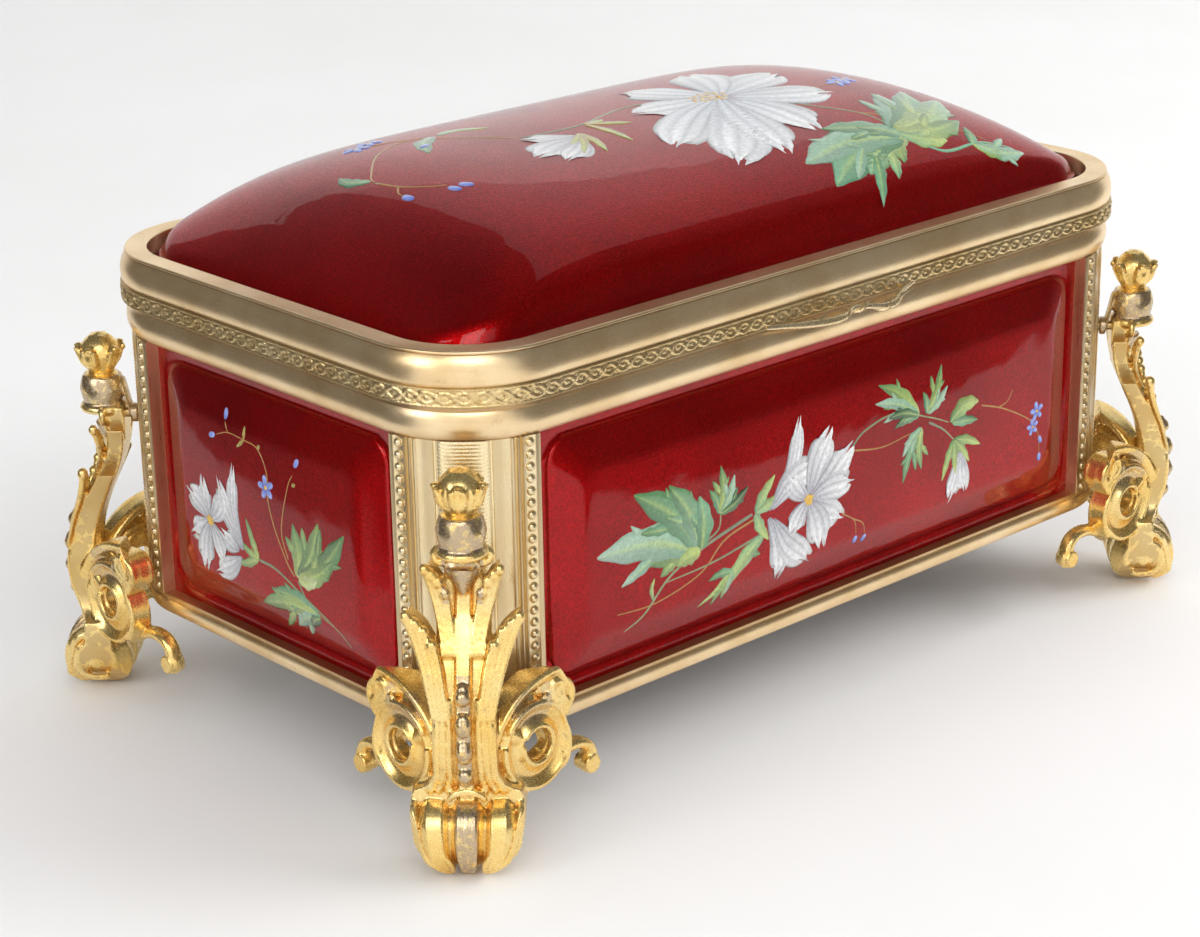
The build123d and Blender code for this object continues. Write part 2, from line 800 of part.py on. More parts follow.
def foot_arm():
    """The scrolls that run along one face: upper volute with a leaf, open ring and tail."""
    section = Rot(90, 0, 0) * chamfer(Rectangle(arm_ring_section, arm_ring_section).vertices(), 1.3)
    ring_place = arm_plane(arm_ring_stand_off) * Pos(arm_ring_along, arm_ring_height, 0)
    ring = ring_place * revolve(Pos(arm_ring_radius, 0, 0) * section, Axis.Z, 360)
    volute_start = (2.0, arm_ring_height + 2.3)
    volute_arcs = [(15, -66), (2.6, -180)]
    volute, end = curled_band(volute_start, (cos(radians(66)), sin(radians(66))), volute_arcs,
                              volute_width, volute_band, volute_stand_off)
    eye_place = arm_plane(volute_stand_off) * Pos(end.X + 0.7, end.Y + 0.5, 0)
    eye = eye_place * extrude(Circle(volute_eye_radius), volute_width / 2 + 0.3, both=True)
    tail_start = (4.0, foot_waist_height - 0.2)
    tail_arcs = [(22, 36), (9, -34), (3.6, -100)]
    tail, end = curled_band(tail_start, (cos(radians(-12)), sin(radians(-12))), tail_arcs,
                            tail_width, tail_band, tail_stand_off)
    lobe_place = arm_plane(tail_stand_off) * Pos(end.X - 0.4, end.Y + 0.3, 0)
    lobe = lobe_place * extrude(Circle(tail_lobe_radius), tail_width / 2 + 0.2, both=True)
    tip = (arm_ring_along + 4.6, arm_ring_height + 6.0)
    low_bend = (arm_ring_along - 0.4, arm_ring_height + 4.3)
    low_root = (arm_ring_along - 5.0, arm_ring_height - 0.4)
    high_root = (2.0, arm_ring_height + 1.1)
    high_bend = (arm_ring_along - 4.0, arm_ring_height + 8.2)
    blade = make_face([
        ThreePointArc(high_root, high_bend, tip),
        ThreePointArc(tip, low_bend, low_root),
        Line(low_root, high_root),
    ])
    leaf = extrude(arm_plane(volute_stand_off - 0.9) * blade, arm_leaf_thickness)
    return ring + leaf + (volute + eye) + (tail + lobe)


def foot_toe():
    """The rolled toe: a bulb between two volutes that draw in towards the ground."""
    radius, bulb, groove = toe_radius, toe_bulb_half_width, toe_groove_depth
    half = toe_half_width
    crest = half - 2.8
    half_profile = profile_face(
        (0, 0),
        (radius, 0),
        (radius, bulb),
        (radius - groove, bulb + 1.5),
        (radius - groove, bulb + 2.1),
        (radius - 0.2, bulb + 2.8),
        (radius, crest),
        (radius - groove - 1, half),
        (0, half),
    )
    turned = revolve(half_profile, Axis.Y, 360)
    roll = turned + mirror(turned, about=Plane.XZ)
    roll = Pos(toe_reach, 0, toe_radius - toe_flat_depth) * roll
    front = profile_face(
        (0, foot_waist_height),
        (half + 0.2, foot_waist_height),
        (half + 0.2, radius + 2),
        ((half - 2, radius / 2), (2 * bulb + 0.2, -0.3)),
        (0, -0.3),
    )
    half_front = extrude(Plane.YZ * front, 2 * radius, both=True)
    return roll & (half_front + mirror(half_front, about=Plane.XZ))


def corner_cylinder(radius, bottom, top):
    place = Pos(corner_centre_reach, 0, bottom)
    return place * extrude(Circle(radius), top - bottom)


def foot_boss(height, surface_inset, inner_reach, radius):
    """A boss towards the frame, hollowed to sit on its rounded corner."""
    surface_radius = frame_corner_radius - surface_inset + boss_seat_gap
    length = inner_reach - corner_centre_reach
    boss = Pos(corner_centre_reach, 0, height) * Rot(0, 90, 0) * extrude(Circle(radius), length)
    return boss - corner_cylinder(surface_radius, height - 3 * radius, height + 3 * radius)


def lower_boss_height():
    return case_clearance + base_board_thickness + (base_rail_height - base_board_thickness) / 2


def foot_screw_line(height, back_inset, tip_reach, extra=0.0):
    """A screw along the diagonal, its head inside the frame."""
    head_reach = corner_centre_reach + frame_corner_radius - back_inset
    one = screw(
        foot_screw_radius + extra,
        tip_reach - head_reach + extra,
        foot_screw_head_radius + extra,
        foot_screw_head_height,
    )
    return Pos(head_reach, 0, height) * Rot(0, 90, 0) * one


def foot_screw_pair(extra=0.0):
    tip = corner_centre_reach + frame_corner_radius - pilaster_inset + foot_screw_bite
    upper = foot_screw_line(upper_boss_height, pilaster_back_inset, tip, extra)
    lower = foot_screw_line(lower_boss_height(), rail_back_inset, tip, extra)
    return [upper, lower]


def corner_foot():
    foot = foot_stem() + foot_bud() + foot_toe()
    arm = foot_arm()
    foot = foot + arm + mirror(arm, about=Plane.XZ)
    foot = foot + foot_boss(upper_boss_height, pilaster_inset - pilaster_strip_rise,
                            bud_axis_reach, boss_radius)
    foot = foot + foot_boss(lower_boss_height(), rail_inset, foot_belly_reach - foot_belly_depth / 2,
                            min(boss_radius, (base_rail_height - base_board_thickness) / 2))
    ground = Pos(0, 0, -toe_radius) * Box(8 * toe_radius, 8 * toe_radius, 2 * toe_radius)
    foot = foot - ground
    for hole in foot_screw_pair(screw_clearance):
        foot = foot - hole
    return foot


def build_case():
    screw_holes = frame_screws(screw_clearance)
    rail = base_rail()
    for slot in panel_slots(base_rail_top):
        rail = rail - slot
    top_rail = body_top_rail()
    for slot in panel_slots(opening_top):
        top_rail = top_rail - slot
    for hole in screw_holes:
        rail = rail - hole
        top_rail = top_rail - hole

    foot = corner_foot()
    foot_holes = foot_screw_pair(screw_clearance)
    foot_bolts = []
    for name, (side_x, side_y, diagonal) in corners.items():
        place = corner_place(side_x, side_y) * Rot(0, 0, diagonal)
        post = pilaster(side_x, side_y, diagonal)
        for hole in screw_holes + [place * hole for hole in foot_holes]:
            post = post - hole
        save(post, f"pilaster_{name}")
        for hole in foot_holes:
            rail = rail - place * hole
        save(place * foot, f"foot_{name}")
        foot_bolts = foot_bolts + [place * bolt for bolt in foot_screw_pair()]
    save(Compound(foot_bolts), "foot_screws")
    save(Compound(frame_screws()), "frame_screws")

    save(upright_panel(opening_length, half_depth, 0), "enamel_panel_front")
    save(upright_panel(opening_length, half_depth, 180), "enamel_panel_back")
    save(upright_panel(opening_width, half_length, -90), "enamel_panel_left")
    save(upright_panel(opening_width, half_length, 90), "enamel_panel_right")

    board_inset = base_board_inset + screw_clearance
    board = slab(board_inset, case_clearance, case_clearance + base_board_thickness)
    screw_inset = (base_board_inset + ledge_inset) / 2
    places = side_places(board_screws_long_side, board_screws_short_side, screw_inset, 0)
    reach = base_board_thickness + board_screw_length - rail_ledge_height
    board_screw = screw(board_screw_radius, reach, board_screw_head_radius, board_screw_head_height)
    board_hole = extrude(Circle(board_screw_radius + screw_clearance), reach + screw_clearance)
    for x, y in places:
        spot = Pos(x, y, case_clearance)
        board = board - spot * board_hole
        rail = rail - spot * board_hole
    save(board, "base_board")
    save(Compound([Pos(x, y, case_clearance) * board_screw for x, y in places]), "base_board_screws")
    save(rail, "base_rail")

    box = slab(liner_inset, liner_bottom, liner_top, liner_corner_radius)
    inner_radius = liner_corner_radius - liner_wall
    box = box - slab(liner_inner_inset, liner_floor_top, liner_top + 1, inner_radius)
    save(box, "liner_box")

    pad_radius = inner_radius - lining_gap
    well_radius = pad_radius - wall_pad_thickness
    wall = slab(wall_pad_inset, wall_pad_bottom, wall_pad_top, pad_radius)
    wall = wall - slab(well_inset, wall_pad_bottom - 1, wall_pad_top + 1, well_radius)
    upper_edges = wall.faces().sort_by(Axis.Z)[-1].edges()
    wall = fillet(upper_edges, wall_pad_roll)
    save(wall, "lining_wall_pad")

    floor_pad = crowned_pad(floor_pad_inset, well_radius - lining_gap, floor_pad_height,
                            floor_pad_crown, floor_pad_edge_radius, pad_draw_in)
    save(Pos(0, 0, floor_pad_bottom) * floor_pad, "lining_floor_pad")
    return top_rail


def build_lid():
    rim = lid_rim()
    for hole in retainer_screws(screw_clearance):
        rim = rim - hole
    retainer = ring(retainer_inset, retainer_inset + retainer_width, retainer_bottom,
                    dome_flange_bottom - screw_clearance)
    for hole in retainer_screws(screw_clearance):
        retainer = retainer - hole
    save(retainer, "lid_retaining_frame")
    save(Compound(retainer_screws()), "lid_frame_screws")
    save(enamel_dome(), "lid_enamel_dome")
    save(slab(lid_board_inset, lid_board_bottom, lid_board_top), "lid_lining_board")
    pad_inset = lid_board_inset + lid_pad_inset
    pad = crowned_pad(pad_inset, frame_corner_radius - pad_inset, lid_pad_edge, lid_pad_crown,
                      lid_pad_edge / 2, pad_draw_in)
    save(Pos(0, 0, lid_pad_top) * Rot(180, 0, 0) * pad, "lid_lining_pad")
    save(thumbpiece(), "thumbpiece")
    return rim


def build_hinge(top_rail, rim):
    case_knuckles = [i for i in range(hinge_knuckles) if i % 2 == 0]
    lid_knuckles = [i for i in range(hinge_knuckles) if i % 2 == 1]
    case_leaf_y = half_depth - rail_inset + rail_fillet_step / 2 + screw_clearance
    lid_leaf_y = half_depth
    case_leaf_top = case_top - hinge_stand_off
    case_leaf_bottom = case_leaf_top - hinge_case_leaf_height
    lid_leaf_bottom = seam_level + hinge_stand_off
    lid_leaf_top = lid_leaf_bottom + hinge_lid_leaf_height
    web = knuckle_radius * 0.8
    gap = hinge_stand_off
    case_leaf = hinge_leaf(case_knuckles, case_leaf_y, case_leaf_bottom, case_leaf_top, -web, -gap)
    lid_leaf = hinge_leaf(lid_knuckles, lid_leaf_y, lid_leaf_bottom, lid_leaf_top, gap, web)
    case_level = case_leaf_bottom + hinge_case_leaf_height * 0.4
    lid_level = seam_level + band_height * 0.6
    band = engraved_band()
    for hole in hinge_screws(case_level, case_leaf_y, screw_clearance):
        case_leaf = case_leaf - hole
        top_rail = top_rail - hole
    for hole in hinge_screws(lid_level, lid_leaf_y, screw_clearance):
        lid_leaf = lid_leaf - hole
        band = band - hole
        rim = rim - hole
    save(top_rail, "body_top_rail")
    save(rim, "lid_rim")
    save(band, "lid_engraved_band")
    save(case_leaf, "hinge_case_leaf")
    save(lid_leaf, "hinge_lid_leaf")
    save(hinge_pin(), "hinge_pin")
    save(Compound(hinge_screws(case_level, case_leaf_y)), "hinge_case_screws")
    save(Compound(hinge_screws(lid_level, lid_leaf_y)), "hinge_lid_screws")


case_top_rail = build_case()
lid_rim_blank = build_lid()
build_hinge(case_top_rail, lid_rim_blank)
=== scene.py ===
import math

import bmesh
import bpy
import numpy as np
from mathutils import Matrix, Vector


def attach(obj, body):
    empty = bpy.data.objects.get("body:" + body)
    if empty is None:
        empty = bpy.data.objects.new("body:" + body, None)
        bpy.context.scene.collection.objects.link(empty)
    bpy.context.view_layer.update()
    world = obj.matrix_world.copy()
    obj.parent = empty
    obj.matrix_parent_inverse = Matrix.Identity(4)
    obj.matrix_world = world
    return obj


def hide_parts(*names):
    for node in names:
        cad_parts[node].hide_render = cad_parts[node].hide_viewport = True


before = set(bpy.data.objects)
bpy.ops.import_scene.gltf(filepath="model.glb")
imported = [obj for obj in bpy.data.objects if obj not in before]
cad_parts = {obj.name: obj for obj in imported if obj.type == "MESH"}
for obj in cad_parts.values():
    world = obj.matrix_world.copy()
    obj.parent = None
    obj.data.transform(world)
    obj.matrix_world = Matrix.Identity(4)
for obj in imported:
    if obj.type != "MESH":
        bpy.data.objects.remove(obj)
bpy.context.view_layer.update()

# Sizes and places are in millimetres, heights from the floor
MM = 0.001
ROOT2 = math.sqrt(2)
HALF_X, HALF_Y, CORNER = 90.0, 53.85, 20.5
RAIL_BOTTOM, RAIL_TOP, OPENING_TOP, CASE_TOP, SEAM = 19.2, 22.7, 71.5, 77.45, 77.6
BAND_TOP, DOME_BED, LIP_UNDER, RIM_TOP = 81.0, 83.1, 84.4, 86.9
CORNERS = {"front_right": (1, -1, -45), "back_right": (1, 1, 45),
           "back_left": (-1, 1, 135), "front_left": (-1, -1, -135)}


# Meshes

def new_mesh(name, points, faces, material, smooth=0.0):
    """A mesh from millimetre points. Edges that turn by more than smooth degrees stay sharp."""
    mesh = bpy.data.meshes.new(name)
    mesh.from_pydata([tuple(float(v) * MM for v in p) for p in points], [], [tuple(f) for f in faces])
    mesh.validate()
    mesh.materials.append(material)
    mesh.shade_smooth()
    if smooth:
        mesh.set_sharp_from_angle(angle=math.radians(smooth))
    return mesh


def link(name, data):
    piece = bpy.data.objects.new(name, data)
    bpy.context.scene.collection.objects.link(piece)
    return piece


def dress(piece, body, slot, nodes):
    """Puts a piece on a body, in place of the plain nodes that it stands for."""
    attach(piece, body)
    if nodes:
        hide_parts(*nodes)
    return piece


def new_piece(name, points, faces, material, body, slot, nodes=(), smooth=0.0):
    return dress(link(name, new_mesh(name, points, faces, material, smooth)), body, slot, nodes)


def at_corners(kind, ending, mesh, slot, inset, turned):
    """One mesh at all four corners, each a quarter turn on from the last."""
    for corner, (sx, sy, turn) in CORNERS.items():
        piece = link(kind + corner + ending, mesh)
        at = Matrix.Translation((sx * (HALF_X - inset) * MM, sy * (HALF_Y - inset) * MM, 0))
        piece.matrix_world = at @ Matrix.Rotation(math.radians(turn + turned), 4, "Z")
        dress(piece, "case", slot, [kind + corner])


def grid_faces(rows, columns, wrap_rows=False, wrap_columns=False, start=0, flip=False):
    """Faces over a grid of points, with its ends joined where it wraps."""
    faces = []
    for i in range(rows if wrap_rows else rows - 1):
        for j in range(columns if wrap_columns else columns - 1):
            a, b = i * columns + j, i * columns + (j + 1) % columns
            c, d = ((i + 1) % rows) * columns + (j + 1) % columns, ((i + 1) % rows) * columns + j
            face = (start + a, start + b, start + c, start + d)
            faces.append(face[::-1] if flip else face)
    return faces


def row_faces(rows, ring):
    """Faces between closed rings of points, taken in the order given."""
    return [(a * ring + j, a * ring + (j + 1) % ring, b * ring + (j + 1) % ring, b * ring + j)
            for a, b in zip(rows, rows[1:]) for j in range(ring)]


def merge(mesh, distance=0.00001):
    """Joins points that fall together and turns all faces outwards."""
    work = bmesh.new()
    work.from_mesh(mesh)
    bmesh.ops.remove_doubles(work, verts=work.verts, dist=distance)
    bmesh.ops.recalc_face_normals(work, faces=work.faces)
    work.to_mesh(mesh)
    work.free()


def set_layer(mesh, name, kind, key, values):
    """A value for each point, for a material to read."""
    layer = mesh.attributes.new(name, kind, "POINT")
    layer.data.foreach_set(key, np.asarray(values, np.float32).ravel())


def rounded_stations(half_x, half_y, radius, corner_steps, side_step):
    """Places round a rounded rectangle: corner centre, outward direction and run length."""
    stations = []
    run = 0.0
    order = [(1, -1, -90), (1, 1, 0), (-1, 1, 90), (-1, -1, 180)]
    for k, (sx, sy, start) in enumerate(order):
        cx, cy = sx * (half_x - radius), sy * (half_y - radius)
        for i in range(corner_steps + 1):
            angle = math.radians(start + 90 * i / corner_steps)
            stations.append((cx, cy, math.cos(angle), math.sin(angle), run))
            if i < corner_steps:
                run += radius * math.pi / 2 / corner_steps
        nx, ny = order[(k + 1) % 4][:2]
        qx, qy = nx * (half_x - radius), ny * (half_y - radius)
        length = math.hypot(qx - cx, qy - cy)
        count = max(1, round(length / side_step))
        direction = stations[-1][2:4]
        for i in range(1, count):
            t = i / count
            stations.append((cx + (qx - cx) * t, cy + (qy - cy) * t, *direction, run + length * t))
        run += length
    return stations


def carried(stations, radius, profile):
    """Points and faces of a closed profile of (inset, height) places that may change along its run."""
    rows = [profile(run) for *_, run in stations]
    points = [(cx + ux * (radius - inset), cy + uy * (radius - inset), height)
              for (cx, cy, ux, uy, _), row in zip(stations, rows) for inset, height in row]
    return points, grid_faces(len(rows), len(rows[0]), True, True, flip=True)


def moulding(name, profile, body, node):
    """A gilt rail round the frame, whose material knows how far along and across it lies."""
    stations = rounded_stations(HALF_X, HALF_Y, CORNER, 28, 6.0)
    across = [0.0]
    for p, q in zip(profile, profile[1:]):
        across.append(across[-1] + math.dist(p, q))
    piece = new_piece(name, *carried(stations, CORNER, lambda run: profile), RAIL, body, "gilt_frame", [node], 30)
    set_layer(piece.data, "run", "FLOAT_VECTOR", "vector",
              [(run * MM, step * MM, 0) for *_, run in stations for step in across])


def arc(start, middle, end, count):
    """Places on the circle through three profile points."""
    (ax, ay), (bx, by), (cx, cy) = start, middle, end
    d = 2 * (ax * (by - cy) + bx * (cy - ay) + cx * (ay - by))
    a2, b2, c2 = ax * ax + ay * ay, bx * bx + by * by, cx * cx + cy * cy
    ux = (a2 * (by - cy) + b2 * (cy - ay) + c2 * (ay - by)) / d
    uy = (a2 * (cx - bx) + b2 * (ax - cx) + c2 * (bx - ax)) / d
    t0, t1, t2 = (math.atan2(y - uy, x - ux) for x, y in (start, middle, end))
    t1 = t0 + math.remainder(t1 - t0, 2 * math.pi)
    t2 = t1 + math.remainder(t2 - t1, 2 * math.pi)
    radius = math.hypot(ax - ux, ay - uy)
    return [(ux + radius * math.cos(t0 + (t2 - t0) * i / count),
             uy + radius * math.sin(t0 + (t2 - t0) * i / count)) for i in range(count + 1)]


# Materials

class Shade:
    """One node material, built step by step."""

    def __init__(self, name, **values):
        self.material = bpy.data.materials.new(name)
        self.material.use_nodes = True
        self.tree = self.material.node_tree
        self.tree.nodes.clear()
        self.bsdf = self.tree.nodes.new("ShaderNodeBsdfPrincipled")
        out = self.tree.nodes.new("ShaderNodeOutputMaterial")
        self.tree.links.new(self.bsdf.outputs[0], out.inputs[0])
        self.set(**values)

    def set(self, **values):
        for key, value in values.items():
            self.feed(self.bsdf.inputs[key.replace("_", " ")], value)

    def feed(self, socket, value):
        if isinstance(value, bpy.types.NodeSocket):
            self.tree.links.new(value, socket)
        elif hasattr(value, "__len__") and len(value) == 3 and socket.type == "RGBA":
            socket.default_value = (*value, 1)
        else:
            socket.default_value = value

    def node(self, kind, inputs=(), output=0, **settings):
        made = self.tree.nodes.new("ShaderNode" + kind)
        for key, value in settings.items():
            setattr(made, key, value)
        for key, value in dict(inputs).items():
            self.feed(made.inputs[key], value)
        return made.outputs[output]

    def place(self, stretch=(1, 1, 1), attribute=None):
        """Where a texture is read: the object's own space, or an attribute of its points."""
        source = (self.node("Attribute", output=1, attribute_name=attribute) if attribute
                  else self.node("TexCoord", output=3))
        return self.node("Mapping", {"Vector": source, "Scale": stretch})

    def noise(self, scale, detail, stretch=(1, 1, 1), attribute=None, rough=0.55, distort=0.0):
        return self.node("TexNoise", {"Vector": self.place(stretch, attribute), "Scale": scale,
                                      "Detail": detail, "Roughness": rough, "Distortion": distort})

    def cells(self, scale):
        return self.node("TexVoronoi", {"Vector": self.place(), "Scale": scale})

    def calc(self, operation, a, b=0.0):
        return self.node("Math", {0: a, 1: b}, operation=operation)

    def span(self, value, low, high, to_low=0.0, to_high=1.0):
        return self.node("MapRange", {"Value": value, "From Min": low, "From Max": high,
                                      "To Min": to_low, "To Max": to_high})

    def blend(self, factor, a, b, mode="MIX"):
        made = self.tree.nodes.new("ShaderNodeMix")
        made.data_type, made.blend_type = "RGBA", mode
        for key, value in ((0, factor), (6, a), (7, b)):
            self.feed(made.inputs[key], value)
        return made.outputs[2]

    def pointiness(self):
        """Under a half in hollows and over it on edges."""
        return self.node("NewGeometry", output=7)

    def bump(self, height, strength, distance, normal=None):
        inputs = {"Height": height, "Strength": strength, "Distance": distance}
        if normal is not None:
            inputs["Normal"] = normal
        return self.node("Bump", inputs)


def gilt(name, pale, deep, stain, rough, streak=(1, 1, 1), attribute=None, stain_share=0.5, grain=0.12,
         hollow_shade=(0.30, 0.13, 0.025), hollow_shade_share=0.6, worn=False):
    """Gilt brass with brush marks, cloudy toning and brown stains where gilding has gone.

    rough is the roughness, streak and attribute lay the brush marks, and stain_share sets how rare the
    stains are. Hollows are darkened with painted shade. A worn piece is rubbed to grey where its points say so.
    """
    s = Shade(name, Metallic=0.9)
    cloud = s.noise(90, 4)
    marks = s.noise(2600, 3, streak, attribute)
    wide = s.noise(500, 4, streak, attribute)
    tone = s.blend(s.span(cloud, 0.35, 0.7), pale, deep)
    tone = s.blend(s.span(wide, 0.5, 0.8, 0, 0.35), tone, deep)
    patch = s.span(s.noise(210, 7, rough=0.7), stain_share + 0.1, stain_share + 0.26)
    edge = s.span(s.pointiness(), 0.52, 0.58)
    wear = s.calc("MAXIMUM", s.calc("MULTIPLY", patch, 0.55), s.calc("MULTIPLY", edge, 0.5))
    tone = s.blend(wear, tone, stain)
    # Painted shade: points in hollows are darkened towards the hollow colour
    tone = s.blend(s.span(s.pointiness(), 0.495, 0.45, 0, hollow_shade_share), tone, hollow_shade)
    if worn:
        rubbed = s.calc("MULTIPLY", s.node("Attribute", output=2, attribute_name="worn"),
                        s.span(s.noise(900, 4), 0.3, 0.5))
        tone = s.blend(s.calc("MULTIPLY", rubbed, 0.85), tone, (0.50, 0.39, 0.28))
    s.set(Base_Color=tone, Roughness=s.calc("ADD", s.span(marks, 0.25, 0.75, rough - 0.07, rough + 0.09),
                                            s.calc("MULTIPLY", wear, 0.12)))
    fine = s.bump(marks, grain, 0.00004)
    s.set(Normal=s.bump(s.noise(5200, 2), grain * 0.8, 0.00003, fine))
    return s.material


def gloss(s):
    """The slightly uneven clear surface that enamel and painting share."""
    slow = s.bump(s.noise(48, 2), 0.45, 0.0006)
    s.set(Coat_Normal=s.bump(s.noise(230, 2), 0.1, 0.0002, slow))


def enamel(name):
    """Deep red glass over beaten foil, under a clear and slightly wavy gloss."""
    s = Shade(name, Metallic=0.87, Coat_Weight=0.68, Coat_Roughness=0.012, Coat_IOR=1.43,
              Specular_IOR_Level=0.05)
    foil = s.noise(2300, 6, rough=0.66)
    cloud = s.noise(42, 5, rough=0.6)
    red = s.blend(s.span(foil, 0.28, 0.78), (0.20, 0.0004, 0.0012), (0.72, 0.005, 0.006))
    red = s.blend(s.span(cloud, 0.42, 0.72, 0, 0.4), red, (0.10, 0.0001, 0.0006))
    # Painted glints: small bright orange specks where the foil would catch the light
    glint_cells = s.cells(2100)
    painted_glint = s.calc("MULTIPLY", s.span(glint_cells, 0.32, 0.08), s.span(s.noise(170, 4), 0.5, 0.66))
    red = s.blend(s.calc("MULTIPLY", painted_glint, 0.5), red, (0.85, 0.05, 0.02))
    s.set(Base_Color=red, Roughness=s.span(foil, 0.3, 0.7, 0.46, 0.36))
    s.set(Normal=s.bump(foil, 0.4, 0.00014))
    gloss(s)
    return s.material


def paint(name):
    """Opaque enamel colours laid on with a brush, fired under the same gloss."""
    s = Shade(name, Roughness=0.4, Coat_Weight=1.0, Coat_Roughness=0.02, Coat_IOR=1.5, Specular_IOR_Level=0.3)
    colour = s.node("Attribute", output=0, attribute_name="tone")
    brush = s.noise(1400, 5, rough=0.65)
    light = s.span(brush, 0.3, 0.7, 0.72, 1.12)
    shade = s.node("CombineColor", {0: light, 1: light, 2: light})
    s.set(Base_Color=s.blend(1.0, colour, shade, "MULTIPLY"), Normal=s.bump(brush, 0.3, 0.00006))
    gloss(s)
    return s.material


RAIL = gilt("gilt_rail", (1.0, 0.79, 0.49), (0.84, 0.60, 0.31), (0.40, 0.26, 0.14), 0.29, (30, 1, 1), "run")
PILASTER = gilt("gilt_pilaster", (1.0, 0.87, 0.57), (0.94, 0.74, 0.40), (0.46, 0.30, 0.15), 0.25, (1, 1, 0.05))
# The feet take deep orange-brown painted shade in their hollows
FEET = gilt("gilt_feet", (0.98, 0.76, 0.34), (0.92, 0.60, 0.16), (0.52, 0.36, 0.18), 0.27,
            stain_share=0.6, grain=0.05, hollow_shade=(0.55, 0.22, 0.012), hollow_shade_share=0.85, worn=True)
BAND = gilt("gilt_band", (0.92, 0.74, 0.42), (0.78, 0.56, 0.24), (0.34, 0.21, 0.09), 0.3, grain=0.1)
BRASS = gilt("hinge_brass", (0.70, 0.54, 0.30), (0.56, 0.40, 0.19), (0.28, 0.19, 0.10), 0.34, (8, 1, 1),
             stain_share=0.48)
ENAMEL = enamel("red_enamel")
PAINT = paint("painted_sprays")


def wood(name, pale, dark):
    """Thin wood with its grain lengthways and fine dark pores."""
    s = Shade(name, Specular_IOR_Level=0.4)
    rings = s.noise(700, 6, (0.06, 1, 1), rough=0.6, distort=0.4)
    pores = s.noise(4000, 3, (0.03, 1, 1))
    tone = s.blend(s.span(rings, 0.35, 0.65), pale, dark)
    tone = s.blend(s.span(pores, 0.58, 0.7, 0, 0.5), tone, tuple(v * 0.5 for v in dark))
    s.set(Base_Color=tone, Roughness=s.span(rings, 0.3, 0.7, 0.42, 0.6),
          Normal=s.bump(pores, 0.3, 0.0001))
    return s.material


def silk(name, pale, deep):
    """Woven silk with a soft sheen, darker in the folds with painted shade."""
    s = Shade(name, Roughness=0.55, Sheen_Weight=0.5, Sheen_Roughness=0.35, Specular_IOR_Level=0.35)
    threads = [s.node("TexWave", {"Vector": s.place(), "Scale": scale, "Distortion": 0.6, "Detail": 1.0},
                      bands_direction=way) for scale, way in ((420, "X"), (520, "Y"))]
    weave = s.calc("MULTIPLY", *threads)
    slub = s.noise(260, 5, (1, 0.15, 1))
    tone = s.blend(s.span(slub, 0.35, 0.7), pale, deep)
    # Painted shade: folds and hollows are darkened towards the deep colour
    tone = s.blend(s.span(s.pointiness(), 0.5, 0.44, 0, 0.5), tone, tuple(v * 0.55 for v in deep))
    s.set(Base_Color=s.blend(s.calc("MULTIPLY", weave, 0.25), tone, pale))
    s.set(Normal=s.bump(weave, 0.25, 0.00008))
    return s.material


WOOD = wood("liner_wood", (0.30, 0.17, 0.08), (0.16, 0.08, 0.035))
BOARD = wood("base_board", (0.10, 0.055, 0.03), (0.045, 0.025, 0.015))
SILK = silk("lining_silk", (0.45, 0.05, 0.07), (0.30, 0.025, 0.04))

SIDES = ("front", "back", "left", "right")
for names, material in (
        (["foot_" + c for c in CORNERS], FEET),
        (["pilaster_" + c for c in CORNERS], PILASTER),
        (["base_rail", "body_top_rail", "lid_rim", "thumbpiece"], RAIL),
        (["lid_engraved_band"], BAND),
        (["enamel_panel_" + side for side in SIDES] + ["lid_enamel_dome"], ENAMEL),
        (["foot_screws", "frame_screws", "base_board_screws", "hinge_case_leaf", "hinge_case_screws",
          "hinge_lid_leaf", "hinge_lid_screws", "hinge_pin", "lid_frame_screws", "lid_retaining_frame"], BRASS),
        (["liner_box", "lid_lining_board"], WOOD), (["base_board"], BOARD),
        (["lining_wall_pad", "lining_floor_pad", "lid_lining_pad"], SILK)):
    for node_name in names:
        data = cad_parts[node_name].data
        data.materials.clear()
        data.materials.append(material)


# Rails

# How far in the face of a rail, its step and its back lie
FACE, STEP, BACK = 1.2, 0.7, 5.3


def base_rail():
    top, low = RAIL_TOP - STEP, RAIL_BOTTOM
    belly = arc((FACE + 0.25, top - 0.05), (FACE, (low + top) / 2), (FACE + 0.35, low + 0.15), 10)
    ledge = [(FACE + STEP, low), (6.7, low), (6.7, 20.2), (9.9, 20.2), (9.9, 21.2), (BACK, 21.2)]
    return [(FACE + STEP, RAIL_TOP), (FACE + STEP, top)] + belly + ledge + [(BACK, RAIL_TOP)]


def top_rail():
    top, flange = CASE_TOP - STEP, CASE_TOP - 2.6
    belly = arc((FACE + 0.2, top - 0.25), (FACE - STEP / 2 + 0.02, (OPENING_TOP + top) / 2),
                (FACE + STEP, OPENING_TOP), 14)
    return ([(FACE, CASE_TOP), (FACE, top), (FACE + STEP / 2, top - 0.02)] + belly
            + [(BACK, OPENING_TOP), (BACK, flange), (7.8, flange), (7.8, CASE_TOP)])


def lid_rim():
    belly = arc((0.65, BAND_TOP), (0.3, 82.7), (1.35, 86.2), 14)
    bead = arc((1.3, 86.45), (1.35, 86.8), (1.75, RIM_TOP), 6)
    edge = arc((5.1, RIM_TOP), (5.36, 86.8), (5.4, 86.6), 4)
    return ([(FACE, SEAM), (FACE, BAND_TOP)] + belly + [(1.62, 86.22), (1.62, 86.38)] + bead + edge
            + [(5.4, LIP_UNDER), (4.5, LIP_UNDER), (4.5, DOME_BED), (2.2, DOME_BED), (2.2, SEAM)])


moulding("base_rail_moulding", base_rail(), "case", "base_rail")
moulding("top_rail_moulding", top_rail(), "case", "body_top_rail")
moulding("lid_rim_moulding", lid_rim(), "lid", "lid_rim")


# Enamel

